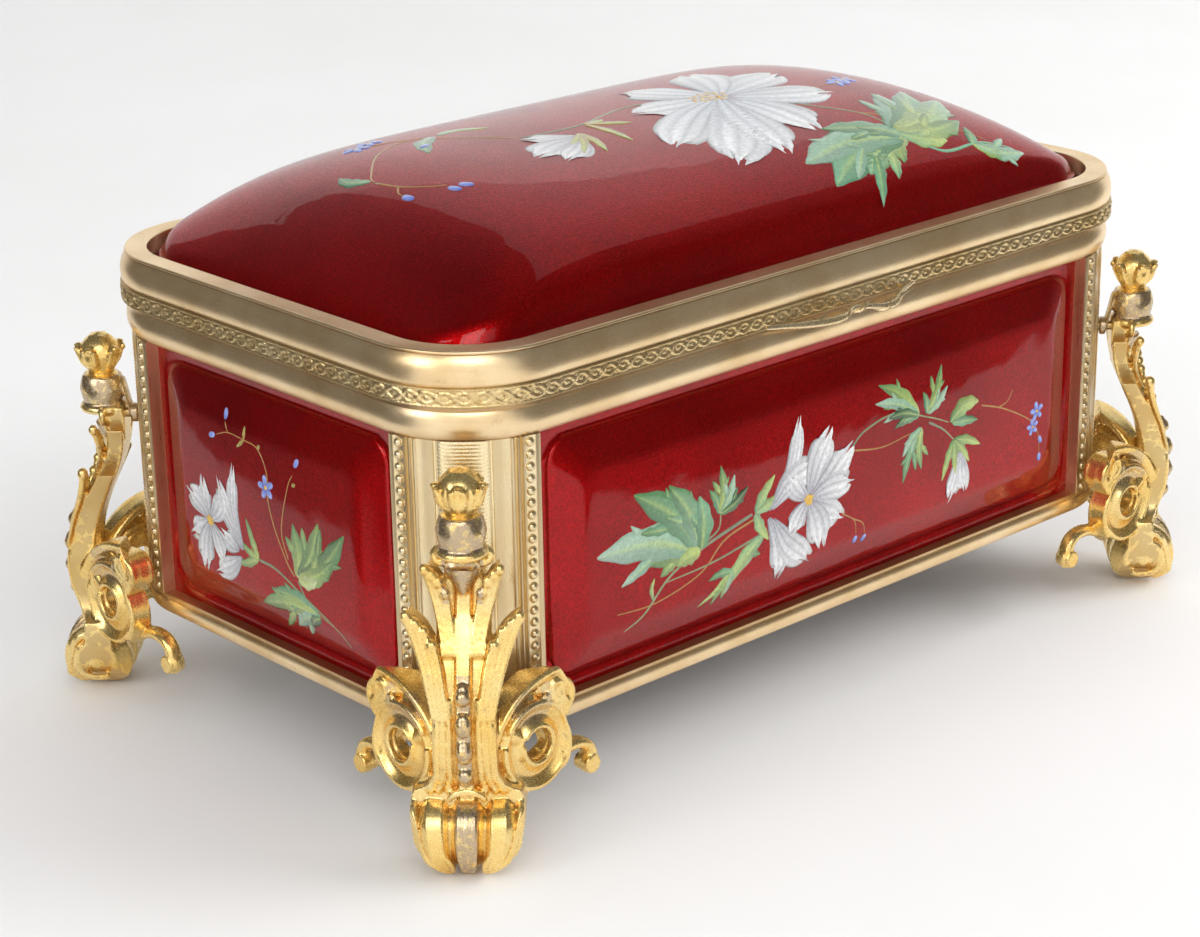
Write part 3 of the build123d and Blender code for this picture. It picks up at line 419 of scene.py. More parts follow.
def cushion_rings(half_x, half_y, radius, steps, height, corner_steps, side_step):
    """Rings of a cushion from the outside in. steps are distances inwards."""
    base = rounded_stations(half_x, half_y, radius, corner_steps, side_step)
    points = []
    for inwards in steps:
        hx, hy = half_x - inwards, half_y - inwards
        shrink = max(hy, 0) / half_y
        for cx, cy, ux, uy, run in base:
            r = radius * shrink
            sx = math.copysign(1, cx) * (hx - r)
            sy = math.copysign(1, cy) * max(hy - r, 0)
            tx = sx if abs(abs(cx) - (half_x - radius)) < 1e-6 else cx * (hx - r) / (half_x - radius)
            ty = sy if abs(abs(cy) - (half_y - radius)) < 1e-6 else cy * max(hy - r, 0) / (half_y - radius)
            x, y = tx + ux * r, ty + uy * r
            points.append((x, y, height(x, y, inwards)))
    return points, len(base)


def cushion_faces(rings, ring, outer):
    """Faces of a cushion, with further rings that lead down from its edge."""
    return (grid_faces(rings, ring, wrap_columns=True, flip=True)
            + row_faces([0, *range(rings, rings + outer)], ring))


PANEL_MARGIN, PANEL_ROLL, PANEL_CORNER, PANEL_HALF_Y = 3, 7, 4.6, 24.4
PLATE_X, PLATE_Y, PANEL_MIDDLE = 86, 49.85, 47.1
# Half the length of each panel, and the place of a point x along it, y over its middle and h off its plate
PANELS = {"front": (70.9, lambda x, y, h: (x, -PLATE_Y - h, PANEL_MIDDLE + y)),
          "back": (70.9, lambda x, y, h: (-x, PLATE_Y + h, PANEL_MIDDLE + y)),
          "left": (34.75, lambda x, y, h: (-PLATE_X - h, -x, PANEL_MIDDLE + y)),
          "right": (34.75, lambda x, y, h: (PLATE_X + h, x, PANEL_MIDDLE + y))}


def panel_height(x, y, inwards, half_x):
    """How far the enamel stands over its plate, at a distance inwards from the edge of the cushion."""
    cx, cy = half_x - PANEL_MARGIN, PANEL_HALF_Y - PANEL_MARGIN
    t = min(max(inwards, 0) / PANEL_ROLL, 1)
    lip = min(max(inwards, 0) / 0.5, 1)
    crown = 1.15 * max(1 - (x / cx) ** 2, 0) * max(1 - (y / cy) ** 2, 0)
    slope = 1.12 * t if t < 0.78 else 1 - 0.126 * ((1 - t) / 0.22) ** 2
    return 0.45 * math.sqrt(1 - (1 - lip) ** 2) + 2.1 * slope + crown * t


def panel(side):
    """A flat margin with a groove, then a cushion with a wide rolled edge and a gentle crown."""
    half_x, place = PANELS[side]
    cx, cy = half_x - PANEL_MARGIN, PANEL_HALF_Y - PANEL_MARGIN
    steps = [0, 0.06, 0.16, 0.32, 0.5, 0.9, 1.5, 2.2, 3, 3.9, 4.8, 5.6, 6.3, 7, 8, 9.5, 11, 13, 15, 17, 19, cy]
    points, ring = cushion_rings(cx, cy, PANEL_CORNER, steps,
                                 lambda x, y, inwards: panel_height(x, y, inwards, half_x), 20, 2)
    inner_x, inner_y = cx - PANEL_CORNER, cy - PANEL_CORNER
    reach = PANEL_MARGIN + 1.5
    outer = ((0.5, -0.28), (0.9, 0), (PANEL_MARGIN, 0), (reach, 0), (reach, -1.2))
    for grow, level in outer:
        hx, hy = cx + grow, cy + grow
        r = PANEL_CORNER * max(0, 1 - grow / reach) + 0.3
        for bx, by, ux, uy, run in rounded_stations(cx, cy, PANEL_CORNER, 20, 2):
            tx = math.copysign(hx - r, bx) if abs(abs(bx) - inner_x) < 1e-6 else bx * (hx - r) / inner_x
            ty = math.copysign(hy - r, by) if abs(abs(by) - inner_y) < 1e-6 else by * (hy - r) / inner_y
            points.append((tx + ux * r, ty + uy * r, level))
    faces = cushion_faces(len(steps), ring, len(outer))
    piece = new_piece("panel_" + side, [place(*p) for p in points], faces, ENAMEL, "case", "red_enamel",
                      ["enamel_panel_" + side], 50)
    merge(piece.data)


for side in SIDES:
    panel(side)


DOME_X, DOME_Y, DOME_RISE = 82.9, 46.75, 20.05


def dome_height(x, y):
    """The full form of the dome, rounder across than along."""
    along = 1 - min(abs(x) / DOME_X, 1) ** 6
    across = max(1 - (y / DOME_Y) ** 2, 0)
    return LIP_UNDER + DOME_RISE * along * across ** 0.37


def dome():
    half_x, half_y, radius, roll = 82.2, 46.05, 12, 1.8
    steps = [0, 0.08, 0.25, 0.5, 0.8, 1.2, roll, 2.5, 3.4, 4.5, 6, 8, 10, 12, 15, 18, 21, 24, 28, 32, 36, 40,
             half_y]

    def height(x, y, inwards):
        t = min(inwards / roll, 1)
        edge = 1 - 1.6 * (1 - math.sqrt(1 - (1 - t) ** 2))
        return LIP_UNDER + (dome_height(x, y) - LIP_UNDER) * max(edge, 0.35)

    points, ring = cushion_rings(half_x, half_y, radius, steps, height, 24, 3)
    outer = ((0, DOME_BED + 0.5), (3.3, DOME_BED + 0.4), (3.3, DOME_BED))
    for grow, level in outer:
        for cx, cy, ux, uy, run in rounded_stations(half_x, half_y, radius, 24, 3):
            points.append((cx + ux * (radius + grow), cy + uy * (radius + grow), level))
    faces = cushion_faces(len(steps), ring, len(outer))
    merge(new_piece("dome", points, faces, ENAMEL, "lid", "red_enamel", ["lid_enamel_dome"], 60).data)


dome()


# Feet, drawn about the sharp corner with +X along the outward diagonal

# The upright axis of the bud, and the middles of the open ring and of the volute's eye on a face of the case
BUD, RING, EYE = -3.4, (11, 18.9), (15.9, 27.5)
FACE_REACH = 8.5


def spine(z):
    """How far the front of the stem stands out at a height."""
    return float(np.interp(z, [8, 14, 17, 20, 23, 26, 32.7, 39.4, 43.4, 47.5, 51],
                           [1.8, 1.8, 3.3, 4.2, 4.5, 4.3, 2.1, -1.8, -4, -4.6, -4.4]))


class Cast:
    """Overlapping closed forms that are melted into one casting."""

    def __init__(self):
        self.points, self.faces = [], []

    def add(self, points, faces):
        start = len(self.points)
        self.points += [tuple(p) for p in points]
        self.faces += [tuple(start + i for i in f) for f in faces]

    def tube(self, path, radii, sides=8):
        """A round bar along a path, through radii at even distances."""
        path = [Vector(p) for p in path]
        count = len(path)
        radii = np.interp(np.linspace(0, 1, count), np.linspace(0, 1, len(radii)), radii)
        points = []
        side = None
        for i, p in enumerate(path):
            along = (path[min(i + 1, count - 1)] - path[max(i - 1, 0)]).normalized()
            side = along.orthogonal() if side is None else side - along * side.dot(along)
            side.normalize()
            other = along.cross(side)
            for j in range(sides):
                turn = 2 * math.pi * j / sides
                points.append(p + (side * math.cos(turn) + other * math.sin(turn)) * float(radii[i]))
        faces = grid_faces(count, sides, wrap_columns=True)
        faces += [tuple(range(sides))[::-1], tuple(range((count - 1) * sides, count * sides))]
        self.add(points, faces)

    def blob(self, centre, radii, turn=None, rings=8, sides=12):
        points = []
        for i in range(rings + 1):
            tilt = math.pi * i / rings
            for j in range(sides):
                angle = 2 * math.pi * j / sides
                p = Vector((radii[0] * math.sin(tilt) * math.cos(angle),
                            radii[1] * math.sin(tilt) * math.sin(angle), radii[2] * math.cos(tilt)))
                points.append(Vector(centre) + (turn @ p if turn else p))
        self.add(points, grid_faces(rings + 1, sides, wrap_columns=True, flip=True))

    def ball(self, centre, radius):
        self.blob(centre, (radius, radius, radius))


def on_face(s, z, t, side):
    """A place along one face of the case: s from the corner, t outwards."""
    return ((t - s) / ROOT2, side * (s + t) / ROOT2, z)


def circle(centre, radius, first, last, count):
    """Places round a centre between two angles in radians. The radius may change on the way."""
    turn = np.linspace(first, last, count)
    return list(zip(centre[0] + radius * np.cos(turn), centre[1] + radius * np.sin(turn)))


def bend(start, middle, end, count):
    """Places on a simple bend, each after its share of the way."""
    return [(t, *((1 - t) ** 2 * a + 2 * t * (1 - t) * b + t * t * c for a, b, c in zip(start, middle, end)))
            for t in np.linspace(0, 1, count)]


def carve_bud(cast):
    """A collar, ten ribs on the ball, and a cup of five lobes with points between them."""
    def rib(turn, places, radii):
        cast.tube([(BUD + r * math.cos(turn), r * math.sin(turn), z) for r, z in places], radii)

    cast.tube([(x, y, 50.4) for x, y in circle((BUD, 0), 3.7, 0, 2 * math.pi, 25)], [0.75])
    for k in range(5):
        turn = 2 * math.pi * k / 5
        rib(turn, ((2.2, 58.4), (2.7, 60.4), (3.1, 62.4), (3.3, 64.4), (4.3, 66.2)), [0.8, 1.2, 1.25, 1.15, 0.6])
        for fan in (-0.26, 0.26):
            rib(turn + fan, ((2.5, 58.6), (3.4, 61.2), (3.9, 63.4), (4.5, 65.4)), [0.35, 0.5, 0.5, 0.4])
        rib(turn + math.pi / 5, ((1.6, 62), (2, 65.4), (1.7, 67.6), (1.2, 69)), [0.8, 1, 0.9, 0.6])
    for k in range(10):
        rib(2 * math.pi * (k + 0.5) / 10, ((2.9, 51.4), (3.9, 53.8), (3.3, 56.6)), [0.3, 0.42, 0.3])


def carve_stem(cast):
    """Four beads down the front and a tongue at the top."""
    for z in (17.4, 21.8, 26.2, 30.6):
        cast.blob((spine(z) + 0.75, 0, z), (1.15, 1.45, 2.1))
    cast.blob((spine(47) + 0.2, 0, 47.6), (1.5, 3.3, 1.9))
    cast.tube([(spine(z) + 0.5, 0, z) for z in (47.6, 46, 44.6, 43.4)], [2.6, 1.9, 1.1, 0.35], 12)


def carve_leaves(cast, side):
    """A curl under the collar, three ribs down the stem, and two tiers of leaf fingers that end in balls."""
    cast.tube([(spine(50) + 0.6, side * v, z) for v, z in circle((3.6, 49.6), 1.1, -2.4, 3.2, 14)], [0.75, 0.5])
    for low, high, wide in ((2.5, 2.3, 0.42), (3.7, 3.3, 0.48), (4.8, 4.2, 0.5)):
        path = []
        for z in np.linspace(13.6, 30, 12):
            flare = 0.32 * low * max(0, (17.5 - z) / 4) ** 2
            v = low + (high - low) * (z - 14) / 16 + flare
            path.append((spine(z) + 0.42 - 0.015 * low ** 2, side * v, z))
        cast.tube(path, [wide])
    for k in range(4):
        f = k / 3
        for root, middle, tip, count, stand, curl, radii, ball in (
                ((2.7 + 0.75 * k, 27), (3.2 + 0.95 * k, 34.2), (5 + 4.2 * f, 37.6 + 4.1 * f ** 0.7),
                 12, 0.62, 2, [0.32, 0.42, 0.6, 0.8], 1.05),
                ((1.5 + 0.55 * k, 36), (2 + 0.75 * k, 42), (2.9 + 3.2 * f, 44.2 + 3.7 * f ** 0.7),
                 10, 0.55, 1.7, [0.3, 0.36, 0.5, 0.7], 0.9)):
            path = [(spine(z) + stand + curl * t ** 3 * (0.4 + 0.6 * f), side * v, z)
                    for t, v, z in bend(root, middle, tip, count)]
            cast.tube(path, radii)
            cast.ball(path[-1], ball)


def carve_scrolls(cast, side):
    """Rims of the open ring and of the volute, the curled eye, the leaf in the volute and the tail's knob."""
    for radius, out, wide in ((7, 5, 0.62), (3.2, 5.3, 0.5), (7.1, 1.6, 0.55)):
        run = circle(RING, radius, math.radians(150), math.radians(-190), 44)
        cast.tube([on_face(s, z, out, side) for s, z in run], [wide])
    cast.ball(on_face(6.6, 21.4, 5.2, side), 1.3)
    volute = (circle((15.7, 15.6), 15, math.radians(156), math.pi / 2, 14)
              + circle((15.9, 27.6), 3, math.pi / 2, math.radians(-170), 20))
    for out in (0.9, 4.9):
        cast.tube([on_face(s, z, out, side) for s, z in volute], [0.5, 0.65, 0.7, 0.6])
    cast.blob(on_face(*EYE, 3.1, side), (2.3, 3.6, 3.6), Matrix.Rotation(side * math.pi / 4, 3, "Z"), 14, 24)
    curl = circle(EYE, np.linspace(3.3, 0.4, 34), 2.2, -7, 34)
    cast.tube([on_face(s, z, 5.35 - 0.1 * math.dist((s, z), EYE) ** 1.6, side) for s, z in curl], [0.5, 0.55])
    for k in range(5):
        run = bend((3.4 + 0.9 * k, 19.6 + 0.2 * k), (6 + 1.6 * k, 25.6 - 0.2 * k),
                   (10.4 + 1.35 * k, 27.9 - 0.75 * k), 10)
        cast.tube([on_face(s, z, 3.5 + 0.5 * math.sin(math.pi * t), side) for t, s, z in run], [0.35, 0.62, 0.35])
    cast.blob(on_face(25.3, 11.6, 1.6, side), (1.9, 1.9, 2.3))


def carve_toe(cast, side):
    """The rim of the toe, rolled in underneath, and the small volute beside it."""
    rim = [(8.6, 13.4), (9, 10), (8.6, 6.4), (7.2, 3.2), (5.2, 1.3), (3.7, 1.4), (3.3, 3.2), (4.2, 4.8)]
    path = []
    for v, z in smooth_path(rim, 24):
        out = math.sqrt(max(6 ** 2 - (z - 6.25) ** 2, 0))
        path.append((0.2 + out - 0.16 * max(v - 7, 0) ** 2, side * v, z))
    cast.tube(path, [0.6, 0.75, 0.75, 0.6, 0.5])
    cast.tube([(u, side * 8.7, z) for u, z in circle((0.2, 6.5), 3.7, -2.2, 3.6, 26)], [0.7])
    cast.blob((0.2, side * 8.8, 6.5), (1.5, 0.6, 1.5))


def carve_foot(cast):
    carve_stem(cast)
    carve_bud(cast)
    for side in (-1, 1):
        carve_leaves(cast, side)
        carve_scrolls(cast, side)
        carve_toe(cast, side)
    for v in (-1.25, 0, 1.25):
        cast.tube([(u, v, z) for u, z in circle((0.2, 6.4), 6.15, -1.2, 1.25, 20)], [0.45, 0.72, 0.72, 0.5])
    cast.tube([(spine(13.5) + 1 + 0.4 * math.cos(a), 2.9 * math.sin(a), 12.6 + 1.5 * math.cos(a))
               for a in np.linspace(-1.7, 1.7, 18)], [0.55, 0.7, 0.55])


def read_points(mesh):
    """The points of a mesh in millimetres, as three rows."""
    flat = np.empty(len(mesh.vertices) * 3)
    mesh.vertices.foreach_get("co", flat)
    return flat.reshape(-1, 3).T / MM


def melted(cast):
    """One closed skin round all forms of a cast, slightly softened."""
    mesh = bpy.data.meshes.new("foot_cast")
    mesh.from_pydata([tuple(float(v) * MM for v in p) for p in cast.points], [], cast.faces)
    work = link("foot_cast", mesh)
    melt = work.modifiers.new("melt", "REMESH")
    melt.mode, melt.voxel_size = "VOXEL", 0.26 * MM
    soften = work.modifiers.new("soften", "SMOOTH")
    soften.factor, soften.iterations = 0.5, 2
    bpy.context.view_layer.update()
    made = bpy.data.meshes.new_from_object(work.evaluated_get(bpy.context.evaluated_depsgraph_get()))
    bpy.data.objects.remove(work)
    made.materials.clear()
    made.materials.append(FEET)
    made.shade_smooth()
    return made


def feet():
    """Each foot is the plain casting of the frame, chased with ribs, leaves, rims and beads."""
    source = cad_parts["foot_front_right"].data
    x, y, z = read_points(source)
    x, y = x - HALF_X, y + HALF_Y
    narrow = np.where(z > 57, 0.72, 1)
    cast = Cast()
    cast.add(np.column_stack([BUD + ((x - y) / ROOT2 - BUD) * narrow, (x + y) / ROOT2 * narrow, z]).tolist(),
             [tuple(p.vertices) for p in source.polygons])
    carve_foot(cast)
    made = melted(cast)
    u, v, z = read_points(made)
    s, out = (np.abs(v) - u) / ROOT2, (np.abs(v) + u) / ROOT2

    # The open ring is dished, the collar and the leaf tips stand higher, and the toe narrows to the floor
    reach = np.hypot(s - RING[0], z - RING[1])
    dish = 1.3 / ROOT2 * np.clip(1 - ((reach - 5.1) / 1.6) ** 2, 0, 1) * np.clip((out - 3.6) / 1.2, 0, 1)
    lift = np.interp(z, [0, 8, 17, 31, 41.5, 47.5, 50, 53.5, 57, 61, 69.8],
                     [0, 0.6, 1.7, 2.1, 3.3, 4.6, 5, 5.3, 5, 3.2, 0])
    waist = np.interp(z, [0, 1.5, 3.5, 6, 9], [0.6, 0.72, 0.86, 0.96, 1])
    new_u, new_v = u - dish, (v - dish * np.sign(v)) * waist
    new_z = np.maximum(z + lift * np.clip((u + 8.6) / 1.1, 0, 1), 0)

    # Nothing stands further out from a face of the case than the solids do
    past = np.maximum((np.abs(new_v) + new_u) / ROOT2 - FACE_REACH, 0)
    back = (past - 0.9 * np.tanh(past / 0.9)) / ROOT2
    new_u, new_v = new_u - back, new_v - back * np.sign(v)

    front = u - np.interp(z, [8, 14, 20, 26, 32.7, 39.4, 47.5], [1.8, 1.8, 4.3, 4.3, 2.1, -1.8, -4.6])
    beads = (np.abs(v) < 1.5) & (z > 15) & (z < 33.5) & (front > 0.5)
    ball = (z > 51) & (z < 57.5) & (np.hypot(u - BUD, v) > 3)
    tongue = (np.abs(v) < 3.4) & (z > 43) & (z < 49.6) & (front > 0.35)
    toe = (np.abs(v) < 2.1) & (z < 12.5) & (u > 3)
    volute_leaf = (s > 6) & (s < 14) & (z > 22.5) & (z < 29) & (out > 4.1)
    set_layer(made, "worn", "FLOAT", "value",
              np.where(beads | ball | tongue | toe, 1, np.where(volute_leaf, 0.6, 0)))
    turned = np.column_stack([(new_u + new_v) / ROOT2, (new_v - new_u) / ROOT2, new_z])
    made.vertices.foreach_set("co", (turned * MM).ravel())
    at_corners("foot_", "_chased", made, "gilt_feet", 0, 45)


# Pilasters

def pilaster_parts():
    """One pilaster about the centre of the rounded corner, drawn for the quarter from 0 to 90 degrees."""
    radius, first, last = CORNER - 1.9, 4.3, 85.7
    length = radius * math.radians(last - first)
    low, high = RAIL_TOP, OPENING_TOP

    def spot(a, out, z):
        angle = math.radians(first) + a / radius
        return ((radius + out) * math.cos(angle), (radius + out) * math.sin(angle), z)

    half = [(0, 0), (0, 0.42), (0.12, 0.5), (0.95, 0.5), (1.1, 0.36), (2.95, 0.36), (3.08, 0.5), (3.25, 0.5),
            (3.36, 0.3), (3.45, -0.1), (3.62, 0.12), (3.85, 0.3), (4.08, 0.3), (4.3, 0.1), (4.42, -0.12),
            (4.6, 0.12), (4.82, 0.28), (5.05, 0.28), (5.28, 0.1), (5.4, 0), (6.5, 0), (7.6, 0), (8.3, 0),
            (8.42, -0.16), (8.62, -0.16), (8.75, 0.1)]
    profile = half + [(8.75 + (length - 17.5) * i / 8, 0.1) for i in range(1, 8)]
    profile += [(length - a, out) for a, out in reversed(half)]
    profile += [(length * i / 16, -2.6) for i in range(16, -1, -1)]
    points = [spot(a, out, z) for z in (low, high) for a, out in profile]
    n = len(profile)
    faces = row_faces([0, 1], n) + [tuple(range(n))[::-1], tuple(range(n, 2 * n))]

    # A field of fine cross ribs down the middle
    start = len(points)
    pitch, cols = 0.65, 12
    rows = int((high - low) / pitch) * 4 + 1
    for i in range(rows):
        z = low + (high - low) * i / (rows - 1)
        wave = abs(math.sin(math.pi * (z - low) / pitch)) ** 0.7
        for j in range(cols):
            a = 8.8 + (length - 17.6) * j / (cols - 1)
            points.append(spot(a, 0 if j in (0, cols - 1) else 0.2 + 0.16 * wave, z))
    faces += grid_faces(rows, cols, start=start)

    # A row of beads in each outer channel
    count, rings, sides = 23, 5, 10
    for middle in (2.02, length - 2.02):
        for k in range(count):
            z = low + 1.1 + (high - low - 2.2) * k / (count - 1)
            start = len(points)
            for i in range(rings):
                tilt = math.pi / 2 * i / (rings - 1)
                flat, out = 0.86 * math.cos(tilt), 0.3 + 0.74 * math.sin(tilt)
                for j in range(sides):
                    turn = 2 * math.pi * j / sides
                    points.append(spot(middle + flat * math.cos(turn), out, z + flat * math.sin(turn)))
            faces += grid_faces(rings, sides, wrap_columns=True, start=start)
    return points, faces


pilaster = new_mesh("pilaster", *pilaster_parts(), PILASTER, 40)
merge(pilaster, 0.0000005)
at_corners("pilaster_", "_carved", pilaster, "gilt_frame", CORNER, -45)


# Engraved band

def band_relief(run, y):
    """Depth of the engraving: two crossing ribbons with leaf veins between beaded edges."""
    phase = 2 * math.pi * run / 6.3
    swing = 0.92 * math.sin(phase)
    first, second = y - swing, y + swing

    def ridge(off, width):
        return math.exp(-(off / width) ** 2)

    ribbon = max(ridge(first, 0.2), ridge(second, 0.2))
    rim = max(ridge(first - 0.33, 0.1), ridge(second + 0.33, 0.1)) * 0.6
    veins = 0.5 + 0.5 * math.sin(2 * math.pi * (run * 1.15 + 0.9 * abs(y) * (1 if swing > 0 else -1)))
    heart = ridge(y, 0.34) * ridge(math.cos(phase), 0.35)
    edge = ridge(abs(y) - 1.42, 0.13) * (0.75 + 0.25 * math.cos(2 * math.pi * run / 0.85))
    return max(ribbon, rim, 0.42 * veins, 0.8 * heart, edge)


def band():
    heights = [SEAM + 0.05 + (BAND_TOP - SEAM - 0.1) * i / 19 for i in range(20)]
    middle = (SEAM + BAND_TOP) / 2
    points, faces = carried(rounded_stations(HALF_X, HALF_Y, CORNER, 92, 0.35), CORNER, lambda run: [
        *((0.5 - 0.46 * band_relief(run, height - middle), height) for height in heights),
        (FACE, BAND_TOP), (FACE, SEAM)])
    new_piece("engraved_band", points, faces, BAND, "lid", "gilt_frame", ["lid_engraved_band"])


band()


# Painting

BLACK, WHITE, COOL, SHADOW = (0, 0, 0), (0.80, 0.80, 0.80), (0.42, 0.46, 0.53), (0.17, 0.18, 0.22)
LIGHT_GREEN, GREEN, SEA_GREEN = (0.42, 0.50, 0.14), (0.09, 0.22, 0.08), (0.17, 0.36, 0.22)
DARK_GREEN, OCHRE, STEM = (0.02, 0.055, 0.03), (0.42, 0.21, 0.05), (0.17, 0.20, 0.13)
BLUE, PALE_BLUE, YELLOW, WINE = (0.09, 0.13, 0.48), (0.32, 0.40, 0.80), (0.68, 0.42, 0.05), (0.14, 0.012, 0.012)


def mixed(a, b, t):
    return tuple(x + (y - x) * t for x, y in zip(a, b))


def between(a, b, c, d, t):
    """A place from b towards c on a smooth curve past a, b, c and d."""
    return 0.5 * (2 * b + (c - a) * t + (2 * a - 5 * b + 4 * c - d) * t * t + (3 * b - a - 3 * c + d) * t ** 3)


def smooth_path(points, count):
    """A curve through the points, at even steps."""
    if len(points) == 2:
        return [mixed(*points, i / (count - 1)) for i in range(count)]
    ends = [mixed(points[1], points[0], 2), *points, mixed(points[-2], points[-1], 2)]
    places = []
    for i in range(count):
        s = (len(points) - 1) * i / (count - 1)
        k = min(int(s), len(points) - 2)
        places.append(tuple(between(*near, s - k) for near in zip(*ends[k:k + 4])))
    return places


class Spray:
    """Brush strokes in flat places on a panel, laid over its surface as thin closed skins."""

    def __init__(self, surface):
        self.surface = surface
        self.points, self.faces, self.tones = [], [], []
        self.layer = 0

    def stroke(self, path, half_width, base, tip, vein=None, across=7, along=14, ragged=0, fold=0,
               streaks=0, edge=0.5):
        """One stroke from base colour to tip colour. Each lies a little over the last."""
        centre = smooth_path(path, along)
        self.layer += 1
        lift = 0.05 + 0.0009 * self.layer
        seed = self.layer * 1.7
        start = len(self.points)
        for face_up in (True, False):
            for i, (x, y) in enumerate(centre):
                v = i / (along - 1)
                x0, y0 = centre[max(i - 1, 0)]
                x1, y1 = centre[min(i + 1, along - 1)]
                size = math.hypot(x1 - x0, y1 - y0) or 1.0
                dx, dy = (x1 - x0) / size, (y1 - y0) / size
                wide = half_width(v)
                for j in range(across):
                    u = -1 + 2 * j / (across - 1)
                    off = u * wide
                    jag = math.sin(u * 7 + seed) + 0.6 * math.sin(u * 13 + 2 * seed) - 0.9 * u * u
                    jag *= ragged * v ** 5
                    border = i in (0, along - 1) or j in (0, across - 1)
                    over = (-0.03 if border else lift) if face_up else -0.08
                    self.points.append(self.surface(x - dy * off + dx * jag, y + dx * off + dy * jag, over))
                    tone = mixed(base, tip, v ** 0.8)
                    tone = mixed(tone, BLACK, 0.58 * edge * abs(u) ** 5)
                    if u > 0.05:
                        tone = mixed(tone, BLACK, 0.55 * fold)
                    streak = (0.5 + 0.5 * math.sin(u * 12 + seed)) ** 3 * (1 - 0.55 * v)
                    tone = mixed(tone, SHADOW, streaks * streak)
                    if vein:
                        tone = mixed(tone, vein, 0.75 * math.exp(-(u / 0.16) ** 2) * (1 - 0.6 * v))
                    self.tones.append((*tone, 1))
        sheet, last = along * across, (along - 1) * across
        self.faces += grid_faces(along, across, start=start, flip=True)
        self.faces += grid_faces(along, across, start=start + sheet)
        rim = [*range(across), *range(2 * across - 1, last + across, across),
               *range(last + across - 2, last - 1, -1), *range(last - across, 0, -across)]
        for a, b in zip(rim, rim[1:] + rim[:1]):
            self.faces.append((start + a, start + b, start + sheet + b, start + sheet + a))

    def stems(self, *rows):
        """Stems from rows of width, colour and places. Plain ones turn greener towards their tips."""
        for width, tone, *path in rows:
            end = mixed(tone, LIGHT_GREEN, 0.35) if tone == STEM else tone
            self.stroke(path, lambda v: width * (1 - 0.55 * v), tone, end, across=4, along=5 * len(path) + 3)

    def lobe(self, width, base, tip, *path):
        self.stroke(path, lambda v: 0.03 + (width * math.sin(math.pi * min(v ** 0.8, 1)) ** 0.8
                                            * (1 + 0.12 * math.sin(19 * v))),
                    base, tip, LIGHT_GREEN, 9, 18, 0, 0.4)

    def lobes(self, root, tips, aside, width, base, end):
        """Lobes from one root, with the middle of each drawn aside."""
        for tip in tips:
            middle = mixed(root, tip, 0.5)
            self.lobe(width, base, end, root, (middle[0] + aside[0], middle[1] + aside[1]), tip)

    def leaf(self, root, tips, width, tones):
        """A lobed leaf: a pointed blade to each tip, with small teeth beside the long ones."""
        x, y = root
        for k, tip in enumerate(tips):
            base, end = tones[k % len(tones)]
            dx, dy = tip[0] - x, tip[1] - y
            reach = math.hypot(dx, dy)
            if reach > 7:
                near = mixed(root, tip, 0.42)
                for side in (-0.22, 0.22):
                    tooth = (near[0] + 0.3 * dx - side * dy, near[1] + 0.3 * dy + side * dx)
                    self.lobe(width * 0.42, base, end, near, tooth)
            bent = (x + 0.5 * dx + 0.08 * dy, y + 0.5 * dy - 0.08 * dx)
            self.lobe(width * (0.46 + 0.034 * reach), base, end, root, bent, tip)

    def petal(self, root, tip, width, aside, base=(0.36, 0.36, 0.40), ragged=1.25):
        mx, my = mixed(root, tip, 0.5)
        middle = (mx - aside * (tip[1] - root[1]), my + aside * (tip[0] - root[0]))
        self.stroke([root, middle, tip],
                    lambda v: width * (0.12 + 0.88 * math.sin(math.pi * 0.5 * min(v / 0.72, 1)))
                    * math.sqrt(max(1 - max(0, (v - 0.72) / 0.285) ** 2, 0.03)),
                    base, WHITE, None, 17, 18, ragged, 0.22, 0.75, 0.85)

    def petals(self, *rows):
        for row in rows:
            self.petal(*row)

    def bloom(self, centre, tips, width):
        cx, cy = centre
        for k, (x, y, share) in enumerate(tips):
            self.petal(centre, (x, y), width * share, 0.06 * (-1) ** k)
        for x, y, share in tips:
            for part in (0.28, 0.36):
                end = (cx + part * (x - cx) + 1.2 * (y - cy) * (part - 0.32), cy + part * (y - cy))
                self.stroke([centre, end], lambda v: 0.16 * (1 - 0.7 * v), WINE, mixed(WINE, COOL, 0.6),
                            across=4, along=6)
        for k in range(11):
            r = 0.08 * math.sqrt(k) * width
            self.dab((cx + r * math.cos(2.4 * k), cy + r * math.sin(2.4 * k)), 0.14 * width + 0.12,
                     mixed(YELLOW, OCHRE, 0.5 * (k % 2)), YELLOW)

    def dab(self, place, size, base, tip, stretch=1, turn=0):
        (x, y), dx, dy = place, math.cos(turn) * size * stretch, math.sin(turn) * size * stretch
        self.stroke([(x - dx, y - dy), (x + dx, y + dy)],
                    lambda v: size * math.sqrt(max(1 - (2 * v - 1) ** 2, 0.01)), base, tip, across=6, along=8)

    def buds(self, size, stretch, *rows):
        """Blue buds from rows of two coordinates and an angle."""
        for x, y, turn in rows:
            self.dab((x, y), size, BLUE, PALE_BLUE, stretch, turn)

    def small_flower(self, x, y, size):
        reach = size * 0.75
        turns = [0.5 + 2 * math.pi * k / 5 for k in range(5)]
        self.buds(size * 0.42, 1.5, *((x + reach * math.cos(a), y + reach * math.sin(a), a) for a in turns))
        self.dab((x, y), size * 0.28, YELLOW, YELLOW)

    def lay(self, name, body):
        piece = new_piece(name, self.points, self.faces, PAINT, body, "red_enamel")
        set_layer(piece.data, "tone", "FLOAT_COLOR", "color", self.tones)


